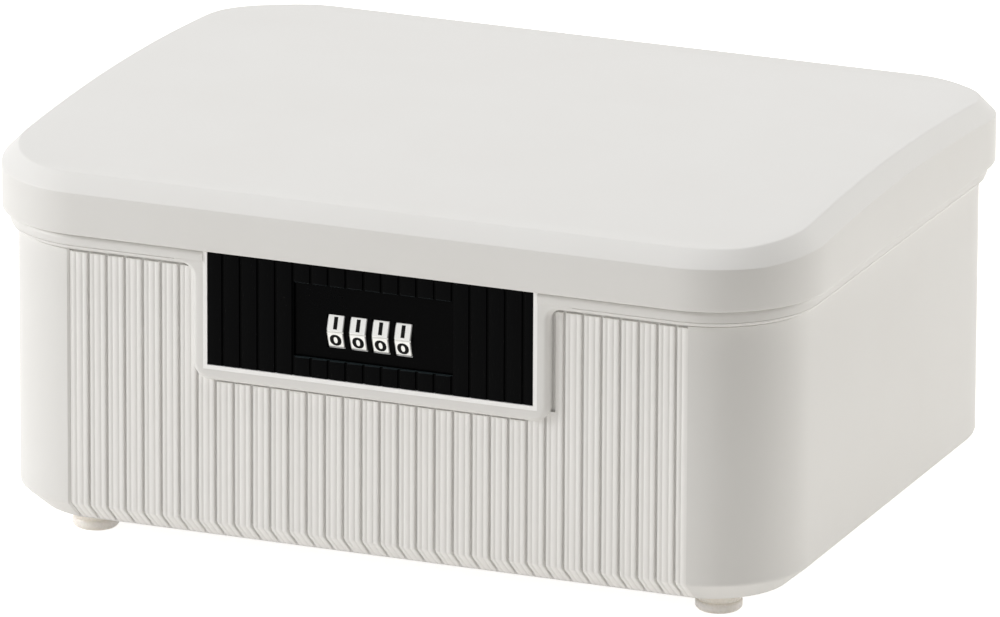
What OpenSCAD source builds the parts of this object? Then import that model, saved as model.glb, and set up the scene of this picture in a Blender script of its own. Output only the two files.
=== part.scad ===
// Lockable storage box with a hinged lid and a four-wheel number lock, in millimetres.
// The box stands on the XY plane. Its front, with the lock, faces -Y.

/* [Lid] */
// Width of the lid
lid_w = 296.4; // [270:1:330]
// Depth of the lid, front to back
lid_d = 233.6; // [215:1:260]
// Corner radius of the lid in plan
lid_corner_r = 40; // [34:1:46]
// Height of the lid's skirt at its corners
lid_skirt_h = 14.8; // [13:0.2:20]
// Width of the bevel between the skirt and the top, seen from above
lid_bevel_in = 5.7; // [4:0.1:8]
// Height of the bevel between the skirt and the top
lid_bevel_up = 5.7; // [5:0.1:8]
// Rise of the crowned top between its front edge and its middle
lid_crown = 5.3; // [2:0.1:8]
// Wall thickness of the lid
lid_wall = 2.2; // [1.8:0.1:2.6]
// Width of the thickened rim at the lid's lower edge
lid_rim_w = 4.8; // [4:0.1:5]
// Height of the thickened rim at the lid's lower edge
lid_rim_h = 2.6; // [1.5:0.1:4]
// Gap between the closed lid and the shoulder of the body
lid_gap = 0.3; // [0.2:0.05:0.6]

/* [Body] */
// Height of the body's shoulder above its underside
shoulder_h = 103.5; // [95:0.5:120]
// Height of the lip that stands inside the lid, above the shoulder
lip_h = 6.3; // [4:0.1:9]
// How far the body's wall lies inside the lid's outline
wall_inset = 5.6; // [5.4:0.1:7]
// Thickness of the body's walls
wall_t = 2.5; // [2.2:0.1:3]
// Thickness of the body's floor
floor_t = 2.5; // [2:0.1:4]
// Width of the bevel round the bottom, seen from below
base_bevel_in = 8.1; // [6:0.1:9]
// Height of the bevel round the bottom
base_bevel_up = 6.9; // [5:0.1:9]
// How far the shoulder band lies inside the lid's outline
band_inset = 3.2; // [2.6:0.1:3.6]
// Height of the shoulder band
band_h = 5.7; // [5:0.1:8]
// Height of the upper step of the shoulder band
band_step_h = 4.1; // [2:0.1:4.4]
// How far the upper step stands out of the band
band_step_out = 0.4; // [0.2:0.1:0.6]

/* [Front ribs] */
// Distance between two deep grooves
rib_pitch = 6.65; // [6.4:0.05:7.2]
// Number of deep grooves
rib_count = 34; // [20:1:34]
// Width of the ribbed field
rib_field_w = 225; // [222:0.5:228]
// Depth of the ribbed field under the plain wall
rib_field_depth = 0.2; // [0.1:0.05:0.4]
// Distance from the field's left edge to the first deep groove
rib_start = 1; // [0.6:0.1:3]
// Width of a deep groove
groove_w = 1.0; // [0.8:0.1:1.4]
// Depth of a deep groove under the ribs
groove_depth = 1.2; // [0.6:0.1:1.3]
// Width of a shallow groove
reed_gap_w = 0.6; // [0.4:0.1:0.8]
// Depth of a shallow groove under the ribs
reed_gap_depth = 0.35; // [0.2:0.05:0.5]
// Distance from the middle of a rib to its shallow grooves
reed_gap_at = 1.15; // [0.9:0.05:1.5]

/* [Feet] */
// Diameter of a foot
foot_dia = 16; // [12:0.5:18]
// Diameter of a foot at its lower face
foot_tip_dia = 14.4; // [9:0.2:15]
// Height of a foot
foot_h = 8.5; // [5:0.5:10]
// Height of the taper at a foot's lower end
foot_tip_h = 0.8; // [0.4:0.2:2]
// Distance from the body's sides to the middle of a foot
foot_in_x = 28.6; // [25:0.2:50]
// Distance from the body's front and back to the middle of a foot
foot_in_y = 26.2; // [20:0.2:50]

/* [Hinge] */
// Radius of the hinge knuckles
knuckle_r = 3.4; // [3:0.1:4]
// Radius of the hinge pins
pin_r = 1.5; // [1.2:0.1:1.8]
// Radial clearance of a pin in the lid's knuckle
pin_play = 0.06; // [0.02:0.01:0.1]
// Radial clearance of a pin in the body's knuckles
pin_seat = 0.02; // [0.01:0.01:0.05]
// Distance between the lid's back face and the knuckles
hinge_gap = 0.5; // [0.4:0.1:1]
// Distance between the two hinges
hinge_span = 170; // [140:1:190]
// Length of the lid's knuckle
lid_knuckle_l = 19; // [12:1:26]
// Length of each of the body's knuckles
body_knuckle_l = 12; // [8:1:16]
// Gap between two neighbouring knuckles
knuckle_gap = 0.4; // [0.3:0.1:0.8]
// Height of the lid's hinge leaf above the pin
leaf_h = 8; // [5:0.5:11]

/* [Lock frame] */
// Width of the raised frame on each side of the lock
frame_side = 4.1; // [2.4:0.1:6]
// Height of the raised frame under the lock
frame_below = 4.1; // [1.6:0.1:6]
// Corner radius of the frame
frame_r = 6; // [3:0.5:8]
// How far the lock lies to the right of the box's middle
lock_shift = -1; // [-1.5:0.1:1]
// Width of the lock housing
lock_w = 121.2; // [120.4:0.2:122]
// Height of the housing's lower edge above the body's underside
lock_low = 61.9; // [61:0.1:63]
// Gap between the housing and the notch in the body
notch_fit = 0.1; // [0.05:0.05:0.3]
// Gap between the housing's top and the body's shoulder level
lock_top_drop = 0.3; // [0.2:0.1:1]
// Width of the light trim round the black fascia
trim_w = 1.5; // [1.2:0.1:2.2]
// Width of the ledge that the fascia sits on
ledge_w = 2; // [1.5:0.1:2.4]
// Thickness of the housing's inner walls
housing_wall = 2; // [1.6:0.1:2.4]
// Depth of the housing's wide front part
housing_front_d = 5; // [4.6:0.1:5.6]

/* [Fascia] */
// Gap between the fascia and its pocket
fascia_fit = 0.1; // [0.05:0.05:0.2]
// How far the fascia lies behind the frame's face
fascia_drop = 0.2; // [0.1:0.1:0.6]
// Thickness of the fascia
fascia_t = 1.5; // [1.3:0.1:2]
// Distance between two grooves of the fascia
fascia_pitch = 6.4; // [6.1:0.05:6.5]
// How far the fascia's grooves and window lie to the right of its middle
fascia_shift = 1; // [-1.5:0.1:1.5]
// Depth of the fascia's grooves
fascia_groove_depth = 0.7; // [0.3:0.1:0.8]
// Width of the fascia's grooves
fascia_groove_w = 1.0; // [0.6:0.1:1.4]
// Number of grooves across the fascia
fascia_grooves = 18; // [10:2:18]
// Width of the window
window_w = 57.8; // [54:0.2:58]
// Height of the window
window_h = 26; // [24:0.1:27]
// How far the window's middle lies above the wheel axis
window_up = 2.9; // [1:0.1:4]

/* [Number wheels] */
// How far the wheels at rest lie to the right of the fascia's middle
rest_shift = -0.6; // [-1.5:0.1:0]
// Distance between two number wheels
wheel_pitch = 8.15; // [8:0.05:8.4]
// Width of a number wheel
wheel_w = 6.2; // [6:0.05:6.4]
// Distance across the flats of a number wheel
wheel_across = 19.3; // [18.5:0.1:19.8]
// Height of the wheel axis above the body's underside
wheel_up = 80.2; // [79:0.1:81]
// How far a wheel's front corner stands out of the number plate
wheel_stand = 1.45; // [1.2:0.05:1.6]
// Clearance round a wheel's corners
wheel_clear = 0.3; // [0.2:0.05:0.5]
// Radius of the gate sleeve in a wheel
sleeve_r = 6.5; // [6.2:0.1:6.8]
// Radial clearance of the sleeve in its wheel
sleeve_fit = 0.05; // [0.02:0.01:0.1]
// Width of the sleeve's key
key_w = 1.4; // [1:0.1:1.8]
// Height of the sleeve's key
key_h = 0.9; // [0.6:0.1:1]
// Clearance of the key in its slot
key_fit = 0.1; // [0.05:0.05:0.2]

/* [Spindle and gates] */
// Radius of the fixed spindle
spindle_r = 2.5; // [2:0.1:2.8]
// Radial clearance of the sleeves on the spindle
spindle_play = 0.05; // [0.02:0.01:0.1]
// Distance from the axis to the top of a lug
lug_r = 4; // [3.6:0.1:4.1]
// Width of a lug
lug_w = 2; // [1.6:0.1:2.4]
// Thickness of a lug along the spindle
lug_t = 1.5; // [1.2:0.1:1.6]
// Thickness of the gate web in a sleeve
web_t = 1.5; // [1.2:0.1:1.6]
// Clearance between a lug and its gate
gate_fit = 0.3; // [0.2:0.05:0.4]
// Travel of the number plate between open and locked
slide_travel = 4; // [4:0.05:4.2]
// Thickness of the walls that hold the spindle
support_t = 2.5; // [2:0.1:3]
// Distance between those walls and the carriage at the ends of its travel
support_clear = 2.4; // [1:0.1:2.8]
// Gap between those walls and the pieces that slide past them
support_gap = 0.5; // [0.4:0.05:0.8]
// Width across the flats at the spindle's ends
spindle_flat = 4; // [3.2:0.1:4.2]
// Play of the spindle along its axis
spindle_float = 0.2; // [0.1:0.05:0.4]
// Clearance of the spindle's ends in their slots
spindle_seat = 0.05; // [0.02:0.01:0.1]

/* [Carriage] */
// Thickness of the number plate
plate_t = 1.5; // [1.2:0.1:1.8]
// Width of the number plate
plate_w = 72; // [68:0.5:74]
// Overlap of the number plate behind the fascia, above and below the window
plate_lap = 1.5; // [0.8:0.1:1.8]
// Running gap of the sliding pieces
slide_gap = 0.3; // [0.2:0.05:0.4]
// Thickness of the walls between the wheels
divider_t = 1.1; // [1:0.05:1.15]
// Radius of the spindle holes in the carriage
carriage_hole_r = 4.7; // [4.5:0.1:5.2]
// Thickness of the carriage's back
bridge_t = 2; // [1.6:0.1:2.4]
// Distance from the wheel corners to the carriage's upper and lower edges
carriage_rise = 1.05; // [0.9:0.05:1.2]
// Room for the wheel spring under the wheels
spring_room = 1.65; // [1.5:0.05:1.8]
// Thickness of the wheel spring
spring_t = 0.4; // [0.3:0.05:0.6]
// Width of the wheel spring, front to back
spring_w = 14; // [10:0.5:16]
// Gap between the wheel spring's ends and the carriage
spring_end_gap = 0.2; // [0.1:0.1:0.5]
// Width of a spring finger along the spindle
finger_w = 4; // [3:0.5:5]
// Run of a spring finger at its root
finger_run = 5; // [4:0.5:6]
// Run of a spring finger at its tip
finger_tip = 0.6; // [0.4:0.1:0.8]
// Radius of the carriage's screw bosses
carriage_boss_r = 2.5; // [2.2:0.1:2.7]
// Height of the carriage's screw bosses
carriage_boss_h = 8; // [6:0.5:10]

/* [Latch] */
// Length of the latch bar
bar_l = 97; // [96:0.5:99]
// Width of the latch bar
bar_w = 10; // [9.5:0.1:10.4]
// Thickness of the latch bar
bar_t = 2; // [1.6:0.1:2.2]
// Distance from the middle to the middle of each latch window
latch_at = 41.75; // [41:0.05:42]
// Length of a hook's toe
toe_l = 4; // [3.6:0.1:4]
// Height of a hook's toe
toe_h = 3.5; // [3:0.1:4.5]
// Thickness of a hook's shank
shank_t = 2.5; // [2:0.1:2.6]
// Width of a hook, front to back
hook_w = 4.6; // [4:0.1:5]
// Thickness of the guides over the latch bar
guide_t = 2; // [1.5:0.1:2.4]
// Clearance of a hook in a latch window, along the bar
hook_play_x = 1; // [0.8:0.05:1.1]
// Clearance of a hook in a latch window, across the bar
hook_play_y = 0.7; // [0.6:0.1:0.9]
// Gap between a hook's toe and the latch bar
toe_gap = 0.4; // [0.3:0.05:0.6]
// Distance from the wheel axis back to the middle of the latch bar
latch_back = 1.9; // [1.5:0.1:2.4]
// Thickness of the striker's base
striker_t = 2.5; // [2:0.1:3]
// Length of the striker's base
striker_l = 112; // [108:1:116]
// Width of the striker's base
striker_w = 12; // [10:0.5:13]
// Height of the striker's base above the lid's lower edge
striker_up = 9.7; // [9:0.1:10.5]

/* [Covers and screws] */
// Thickness of the lock's back cover
cover_t = 2; // [1.6:0.1:2.6]
// Gap between the carriage's back and the cover
cover_gap = 0.4; // [0.3:0.1:0.6]
// Radius of the cover's screw posts
post_r = 2.8; // [2.4:0.1:3]
// Distance from the housing's inner faces to the middles of the screw posts
post_edge = 2.3; // [2:0.1:2.5]
// Radius of the fascia's pegs
peg_r = 1.25; // [1:0.05:1.4]
// Length of the fascia's pegs
peg_l = 4; // [3:0.5:6]
// Depth of a peg's hole beyond its tip
peg_spare = 1; // [0.5:0.25:2]
// Radius of a screw's shank
screw_r = 1.15; // [1:0.05:1.2]
// Clearance between a screw and its pilot hole
screw_fit = 0.1; // [0.05:0.01:0.15]
// Clearance between a screw and the piece under its head
screw_pass = 0.4; // [0.3:0.05:0.5]
// Depth that a screw goes into plastic
screw_bite = 5; // [4:0.5:5.5]
// Depth of a pilot hole beyond the screw's tip
pilot_spare = 1.5; // [1:0.25:2]
// Radius of a screw's head
head_r = 2.4; // [2.2:0.1:2.6]
// Height of a screw's head
head_h = 1.8; // [1.4:0.1:2]
// Width of a screw's cross recess
recess_w = 0.7; // [0.5:0.1:0.9]
// Depth of a screw's cross recess
recess_d = 0.8; // [0.4:0.1:1]
// Radius of the body's lock bosses
boss_r = 4; // [3.4:0.1:4.4]
// Length of the body's lock bosses
boss_l = 7.7; // [6:0.1:9]
// Distance from the housing's sides to the middles of the lock bosses
boss_out = 8.4; // [7:0.1:12]
// Height of the lower lock bosses above the body's underside
boss_low = 72; // [70:1:76]
// Height of the upper lock bosses above the body's underside
boss_high = 94; // [88:1:96]
// Thickness of the housing's screw ears
ear_t = 2.5; // [2:0.1:3]

/* [Code setting slider] */
// Travel of the slider
set_travel = 3; // [2:0.1:4]
// Distance from the side of the back cover to the middle of the slider
set_in = 16.9; // [15:0.1:19]
// Width of the slider's neck
set_neck_w = 4; // [3:0.1:5]
// Height of the slider's neck
set_neck_h = 4.4; // [3:0.1:5]
// Clearance of the neck in its slot
set_fit = 0.3; // [0.2:0.05:0.4]
// Width and height of the slider's knob
set_knob = 9; // [8:0.5:11]
// Thickness of the slider's knob
set_knob_t = 2.5; // [2:0.1:3.5]
// Thickness of the slider's inner flange
set_flange_t = 1.2; // [0.8:0.1:1.6]
// Gap between the slider and the cover's faces
set_gap = 0.15; // [0.1:0.05:0.25]

/* [Hidden] */
$fn = 64;

// Colours
off_white = [0.88, 0.87, 0.85];
lock_black = [0.05, 0.05, 0.05];
lock_grey = [0.35, 0.35, 0.36];
steel = [0.72, 0.73, 0.74];
wheel_silver = [0.8, 0.8, 0.78];
foot_beige = [0.85, 0.8, 0.7];

// Small allowance by which cutters pass through a surface
cut = 1;

// Heights
under_z = foot_h;
shoulder_z = under_z + shoulder_h;
lip_z = shoulder_z + lip_h;
band_z = shoulder_z - band_h;
lid_z = shoulder_z + lid_gap;
skirt_z = lid_z + lid_skirt_h;
bevel_z = skirt_z + lid_bevel_up;
axis_z = under_z + wheel_up;

// Plan of the body
wall_w = lid_w - 2 * wall_inset;
wall_d = lid_d - 2 * wall_inset;
wall_r = lid_corner_r - wall_inset;
band_w = lid_w - 2 * band_inset;
band_d = lid_d - 2 * band_inset;
band_r = lid_corner_r - band_inset;

// The back wall lies at +Y, so the front faces have negative Y
hinge_y = lid_d / 2 + knuckle_r + hinge_gap;
hinge_z = lid_z;
centre_y = -(hinge_gap + 2 * knuckle_r) / 2;
frame_face_y = -band_d / 2;
wall_face_y = -wall_d / 2;
wall_in_y = wall_face_y + wall_t;

// Plan of the lock
pocket_w = lock_w - 2 * trim_w;
cavity_w = pocket_w - 2 * ledge_w;
inner_w = cavity_w + 2 * housing_wall;
frame_w = lock_w + 2 * frame_side;
post_x = cavity_w / 2 - post_edge;
boss_x = lock_w / 2 + boss_out;

// Fronts and backs of the lock's pieces
fascia_face_y = frame_face_y + fascia_drop;
fascia_back_y = fascia_face_y + fascia_t;
plate_face_y = fascia_back_y + slide_gap;
plate_back_y = plate_face_y + plate_t;
wheel_tip_r = wheel_across / 2 / cos(18);
axis_y = plate_face_y - wheel_stand + wheel_tip_r;
bridge_y = axis_y + wheel_tip_r + wheel_clear;
bridge_back_y = bridge_y + bridge_t;
cover_y = bridge_back_y + cover_gap;
cover_back_y = cover_y + cover_t;

// Heights in the lock
lock_z = under_z + lock_low;
lock_top_z = shoulder_z - lock_top_drop;
pocket_z = lock_z + trim_w;
cavity_z = pocket_z + ledge_w;
cavity_top_z = lock_top_z - housing_wall;
window_z = axis_z + window_up;
carriage_top_z = axis_z + wheel_tip_r + carriage_rise;
carriage_low_z = axis_z - wheel_tip_r - spring_room;
bar_top_z = carriage_top_z + bar_t;

// Spindle supports stand clear of the carriage's screw bosses over its whole travel
divider_span = 4 * wheel_pitch;
carriage_boss_x = divider_span / 2 + carriage_boss_r;
support_x = carriage_boss_x + carriage_boss_r + slide_travel + support_clear;
guide_x = support_x + support_t + guide_t;

// Latch and striker
latch_y = axis_y + latch_back;
hook_l = toe_l + shank_t;
latch_window_l = hook_l + 2 * hook_play_x;
latch_window_w = hook_w + 2 * hook_play_y;
toe_top_z = carriage_top_z - toe_gap;
toe_z = toe_top_z - toe_h;
striker_z = lid_z + striker_up;
striker_top_z = striker_z + striker_t;

// The striker's screws sit halfway between its hooks and its ends
striker_screw_x = (latch_at + hook_l / 2 + striker_l / 2) / 2;

// Screws
pilot_r = screw_r + screw_fit;
pilot_l = screw_bite + pilot_spare;
pass_r = screw_r + screw_pass;
post_low_z = cavity_z + post_edge;
post_high_z = cavity_top_z - post_edge;
ear_y = wall_in_y + boss_l;

// Moves the model so that its origin lies under the middle of its outline
module place()
  translate([0, centre_y, 0])
    children();

// Moves a piece of the lock to its place
module place_lock()
  translate([lock_shift, 0, 0])
    place()
      children();

// Moves a piece of the sliding mechanism, or of the striker over it, to its place at rest
module place_rest()
  translate([rest_shift, 0, 0])
    place_lock()
      children();

// Box between two corners
module block(low, high)
  translate(low)
    cube(high - low);

// Cylinder along X from x, centred on y and z
module rod_x(x, y, z, r, l)
  translate([x, y, z])
    rotate([0, 90, 0])
      cylinder(r = r, h = l);

// Cylinder along +Y from y, centred on x and z
module rod_y(x, y, z, r, l)
  translate([x, y, z])
    rotate([-90, 0, 0])
      cylinder(r = r, h = l);

// Rectangle with round corners, centred
module rounded_plan(w, d, r) {
  square([w - 2 * r, d], center = true);
  square([w, d - 2 * r], center = true);
  for (sx = [-1, 1], sy = [-1, 1])
    translate([sx * (w / 2 - r), sy * (d / 2 - r)])
      circle(r = r);
}

// Slab with round corners whose lower edge is bevelled all round
module bevelled_base(w, d, r, bevel_in, bevel_up) {
  mid_w = w - 2 * r;
  mid_d = d - 2 * r;
  rotate([90, 0, 90])
    translate([0, 0, -mid_w / 2])
      linear_extrude(mid_w)
        polygon([[-d / 2 + bevel_in, 0], [d / 2 - bevel_in, 0], [d / 2, bevel_up], [-d / 2, bevel_up]]);
  for (side = [0, 180])
    rotate([0, 0, side])
      translate([mid_w / 2, mid_d / 2, 0])
        rotate([90, 0, 0])
          linear_extrude(mid_d)
            polygon([[0, 0], [r - bevel_in, 0], [r, bevel_up], [0, bevel_up]]);
  for (sx = [0, 1], sy = [0, 1])
    mirror([sx, 0, 0])
      mirror([0, sy, 0])
        translate([mid_w / 2, mid_d / 2, 0])
          rotate_extrude(angle = 90)
            polygon([[0, 0], [r - bevel_in, 0], [r, bevel_up], [0, bevel_up]]);
}

// Tub with a bevelled bottom, from z up to the given top
module tub(w, d, r, bevel_in, bevel_up, z, top) {
  translate([0, 0, z])
    bevelled_base(w, d, r, bevel_in, bevel_up);
  translate([0, 0, z + bevel_up])
    linear_extrude(top - z - bevel_up)
      rounded_plan(w, d, r);
}

// One groove of the given width and depth, as corners of the cutter's outline
function notch(x, w, level, depth) = [
  [x - w / 2, level], [x - w / 2, level + depth], [x + w / 2, level + depth], [x + w / 2, level]
];

// One shallow groove
function reed_gap(x) = notch(x, reed_gap_w, rib_field_depth, reed_gap_depth);

// Outline of the cutter that leaves the ribs, seen from above, with the wall's face at 0
function rib_outline() = concat(
  [[-rib_field_w / 2, -cut], [-rib_field_w / 2, rib_field_depth]],
  [for (i = [0 : rib_count - 1])
    let (x = -rib_field_w / 2 + rib_start + i * rib_pitch)
    each concat(
      notch(x, groove_w, rib_field_depth, groove_depth),
      i == rib_count - 1 ? [] : reed_gap(x + rib_pitch / 2 - reed_gap_at),
      i == rib_count - 1 ? [] : reed_gap(x + rib_pitch / 2 + reed_gap_at)
    )
  ],
  [[rib_field_w / 2, rib_field_depth], [rib_field_w / 2, -cut]]
);

// Cutter for the ribs on the front wall and on the bevel under it
module rib_cutter() {
  bevel_run = norm([base_bevel_in, base_bevel_up]);
  bevel_angle = atan2(base_bevel_in, base_bevel_up);
  translate([0, wall_face_y, under_z + base_bevel_up - cut])
    linear_extrude(shoulder_z - under_z - base_bevel_up)
      polygon(rib_outline());
  translate([0, wall_face_y, under_z + base_bevel_up])
    rotate([bevel_angle, 0, 0])
      translate([0, 0, -bevel_run - 2 * cut])
        linear_extrude(bevel_run + 3 * cut)
          polygon(rib_outline());
}

// Frame round the lock, in front of the ribs
module lock_frame() {
  low = lock_z - frame_below;
  translate([lock_shift, wall_in_y, 0])
    rotate([90, 0, 0])
      linear_extrude(wall_in_y - frame_face_y)
        union() {
          translate([-frame_w / 2, low + frame_r])
            square([frame_w, shoulder_z - low - frame_r]);
          translate([-frame_w / 2 + frame_r, low])
            square([frame_w - 2 * frame_r, 2 * frame_r]);
          for (s = [-1, 1])
            translate([s * (frame_w / 2 - frame_r), low + frame_r])
              circle(r = frame_r);
        }
}

// Stepped band under the lid
module shoulder_band() {
  translate([0, 0, band_z])
    linear_extrude(band_h - band_step_h)
      rounded_plan(band_w, band_d, band_r);
  translate([0, 0, shoulder_z - band_step_h])
    linear_extrude(band_step_h)
      rounded_plan(band_w + 2 * band_step_out, band_d + 2 * band_step_out, band_r + band_step_out);
}

// One body knuckle with the arm that carries it
module body_knuckle(x) {
  block([x, wall_d / 2 - wall_t / 2, hinge_z - knuckle_r], [x + body_knuckle_l, hinge_y, shoulder_z]);
  rod_x(x, hinge_y, hinge_z, knuckle_r, body_knuckle_l);
}

// First X of the left and right body knuckles, from the middle of a hinge
function knuckle_starts() = [
  -lid_knuckle_l / 2 - knuckle_gap - body_knuckle_l,
  lid_knuckle_l / 2 + knuckle_gap
];
hinge_l = lid_knuckle_l + 2 * knuckle_gap + 2 * body_knuckle_l;

module body_shell()
  place() color(off_white)
    difference() {
      union() {
        difference() {
          tub(wall_w, wall_d, wall_r, base_bevel_in, base_bevel_up, under_z, lip_z);
          rib_cutter();
        }
        shoulder_band();
        lock_frame();
        for (side = [-1, 1], start = knuckle_starts())
          body_knuckle(side * hinge_span / 2 + start);
      }
      difference() {
        tub(
          wall_w - 2 * wall_t, wall_d - 2 * wall_t, wall_r - wall_t,
          base_bevel_in, base_bevel_up, under_z + floor_t, lip_z + cut
        );
        for (side = [-1, 1], z = [under_z + boss_low, under_z + boss_high])
          rod_y(lock_shift + side * boss_x, wall_face_y, z, boss_r, ear_y - wall_face_y);
      }
      block(
        [lock_shift - lock_w / 2 - notch_fit, frame_face_y - cut, lock_z - notch_fit],
        [lock_shift + lock_w / 2 + notch_fit, wall_in_y + cut, lip_z + cut]
      );
      for (side = [-1, 1], z = [under_z + boss_low, under_z + boss_high])
        rod_y(lock_shift + side * boss_x, ear_y - pilot_l, z, pilot_r, pilot_l + cut);
      for (side = [-1, 1])
        rod_x(
          side * hinge_span / 2 - hinge_l / 2 - cut, hinge_y, hinge_z,
          pin_r + pin_seat, hinge_l + 2 * cut
        );
    }

// Rubber pad with a tapered lower end
module foot(side_x, side_y)
  place() color(foot_beige)
    translate([side_x * (wall_w / 2 - foot_in_x), side_y * (wall_d / 2 - foot_in_y), 0]) {
      cylinder(d1 = foot_tip_dia, d2 = foot_dia, h = foot_tip_h);
      translate([0, 0, foot_tip_h])
        cylinder(d = foot_dia, h = foot_h - foot_tip_h);
    }

module foot_front_left() foot(-1, -1);
module foot_front_right() foot(1, -1);
module foot_back_left() foot(-1, 1);
module foot_back_right() foot(1, 1);

module hinge_pin(side)
  place() color(steel)
    rod_x(side * hinge_span / 2 - hinge_l / 2, hinge_y, hinge_z, pin_r, hinge_l);

module hinge_pin_left() hinge_pin(-1);
module hinge_pin_right() hinge_pin(1);

// Height that the crowned top adds at a given distance from the middle, front to back
crown_reach = lid_d / 2 - 0.3 * lid_corner_r;
function crown(y) = lid_crown * max(0, 1 - pow(y / crown_reach, 2));

// Right half of the lid's outline, drawn in by an inset, from the front to the back
corner_steps = 14;
side_steps = 12;
function half_outline(inset) =
  let (
    x = lid_w / 2 - lid_corner_r,
    y = lid_d / 2 - lid_corner_r,
    r = lid_corner_r - inset
  )
  concat(
    [for (i = [0 : corner_steps])
      let (a = -90 + 90 * i / corner_steps)
      [x + r * cos(a), -y + r * sin(a)]],
    [for (i = [1 : side_steps - 1])
      [x + r, -y + 2 * y * i / side_steps]],
    [for (i = [0 : corner_steps])
      let (a = 90 * i / corner_steps)
      [x + r * cos(a), y + r * sin(a)]]
  );

// Whole outline at a height, flat where lift is 0 and following the crown where it is 1
function lid_ring(inset, z, lift) =
  let (half = half_outline(inset))
  concat(
    [for (p = half) [p[0], p[1], z + lift * crown(p[1])]],
    [for (i = [len(half) - 1 : -1 : 0])
      [-half[i][0], half[i][1], z + lift * crown(half[i][1])]]
  );

// Closed block under a crowned and bevelled top, drawn in from the lid's outer shape by t
module crowned_block(t, low) {
  turn = t * tan(22.5);
  rings = [
    lid_ring(t, low, 0),
    lid_ring(t, skirt_z - turn, 1),
    lid_ring(lid_bevel_in + turn, bevel_z - t, 1)
  ];
  n = len(rings[0]);
  half = n / 2;
  polyhedron(
    points = concat(rings[0], rings[1], rings[2]),
    faces = concat(
      [[for (i = [0 : n - 1]) i]],
      [for (k = [0, 1], i = [0 : n - 1])
        let (j = (i + 1) % n)
        each [[k * n + i, k * n + n + i, k * n + n + j], [k * n + i, k * n + n + j, k * n + j]]],
      [for (i = [0 : half - 2])
        [2 * n + i, 2 * n + n - 1 - i, 2 * n + n - 2 - i, 2 * n + i + 1]]
    )
  );
}

// Centres of the striker's screws
function striker_screw_places() = [
  for (side = [-1, 1]) [side * striker_screw_x, latch_y]
];

module lid_leaf(side)
  translate([side * hinge_span / 2 - lid_knuckle_l / 2, 0, 0]) {
    block([0, lid_d / 2 - lid_wall / 2, hinge_z], [lid_knuckle_l, hinge_y, hinge_z + leaf_h]);
    rod_x(0, hinge_y, hinge_z, knuckle_r, lid_knuckle_l);
  }

module lid_shell()
  place() color(off_white)
    difference() {
      union() {
        difference() {
          crowned_block(0, lid_z);
          crowned_block(lid_wall, lid_z - cut);
        }
        translate([0, 0, lid_z])
          linear_extrude(lid_rim_h)
            difference() {
              rounded_plan(lid_w - lid_wall, lid_d - lid_wall, lid_corner_r - lid_wall / 2);
              rounded_plan(lid_w - 2 * lid_rim_w, lid_d - 2 * lid_rim_w, lid_corner_r - lid_rim_w);
            }
        for (p = striker_screw_places())
          translate([lock_shift + rest_shift + p[0], p[1], striker_top_z])
            cylinder(r = boss_r, h = bevel_z - lid_wall / 2 - striker_top_z);
        for (side = [-1, 1])
          lid_leaf(side);
      }
      for (p = striker_screw_places())
        translate([lock_shift + rest_shift + p[0], p[1], striker_top_z - cut])
          cylinder(r = pilot_r, h = pilot_l + cut);
      for (side = [-1, 1])
        rod_x(
          side * hinge_span / 2 - lid_knuckle_l / 2 - cut, hinge_y, hinge_z,
          pin_r + pin_play, lid_knuckle_l + 2 * cut
        );
    }

// One hook that hangs from the striker, with its toe towards -X
module hook(x) {
  low = [x - hook_l / 2, latch_y - hook_w / 2];
  block([low[0], low[1], toe_z], [low[0] + hook_l, low[1] + hook_w, toe_top_z]);
  block([low[0] + toe_l, low[1], toe_z], [low[0] + hook_l, low[1] + hook_w, striker_z + striker_t / 2]);
}

module lid_striker()
  place_rest() color(lock_grey)
    difference() {
      union() {
        block(
          [-striker_l / 2, latch_y - striker_w / 2, striker_z],
          [striker_l / 2, latch_y + striker_w / 2, striker_top_z]
        );
        for (side = [-1, 1])
          hook(side * latch_at);
      }
      for (p = striker_screw_places())
        translate([p[0], p[1], striker_z - cut])
          cylinder(r = pass_r, h = striker_t + 2 * cut);
    }

// Screw with its head's seat at the origin and its shank along +Z
module screw(l)
  difference() {
    union() {
      translate([0, 0, -head_h])
        cylinder(r = head_r, h = head_h);
      cylinder(r = screw_r, h = l);
    }
    for (turn = [0, 90])
      rotate([0, 0, turn])
        translate([-head_r * 0.6, -recess_w / 2, -head_h - cut])
          cube([head_r * 1.2, recess_w, recess_d + cut]);
  }

module striker_screws()
  place_rest() color(steel)
    for (p = striker_screw_places())
      translate([p[0], p[1], striker_z])
        screw(striker_t + screw_bite);

// Centres of the cover's screw posts, as X and Z
function post_places() = [
  for (side = [-1, 1], z = [post_low_z, post_high_z]) [side * post_x, z]
];

// Wall that holds one end of the spindle in a slot open to the back
module spindle_support(x)
  difference() {
    block(
      [x, plate_back_y + support_gap, cavity_z - cut],
      [x + support_t, cover_y, carriage_top_z - support_gap]
    );
    block(
      [x - cut, axis_y - spindle_r - spindle_seat, axis_z - spindle_flat / 2 - spindle_seat],
      [x + support_t + cut, cover_y + cut, axis_z + spindle_flat / 2 + spindle_seat]
    );
  }

// Screw ear on one side of the housing
module housing_ear(side, z)
  difference() {
    mirror([side < 0 ? 1 : 0, 0, 0])
      block(
        [inner_w / 2 - housing_wall / 2, ear_y, z - boss_r],
        [boss_x + boss_r, ear_y + ear_t, z + boss_r]
      );
    rod_y(side * boss_x, ear_y - cut, z, pass_r, ear_t + 2 * cut);
  }

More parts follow.
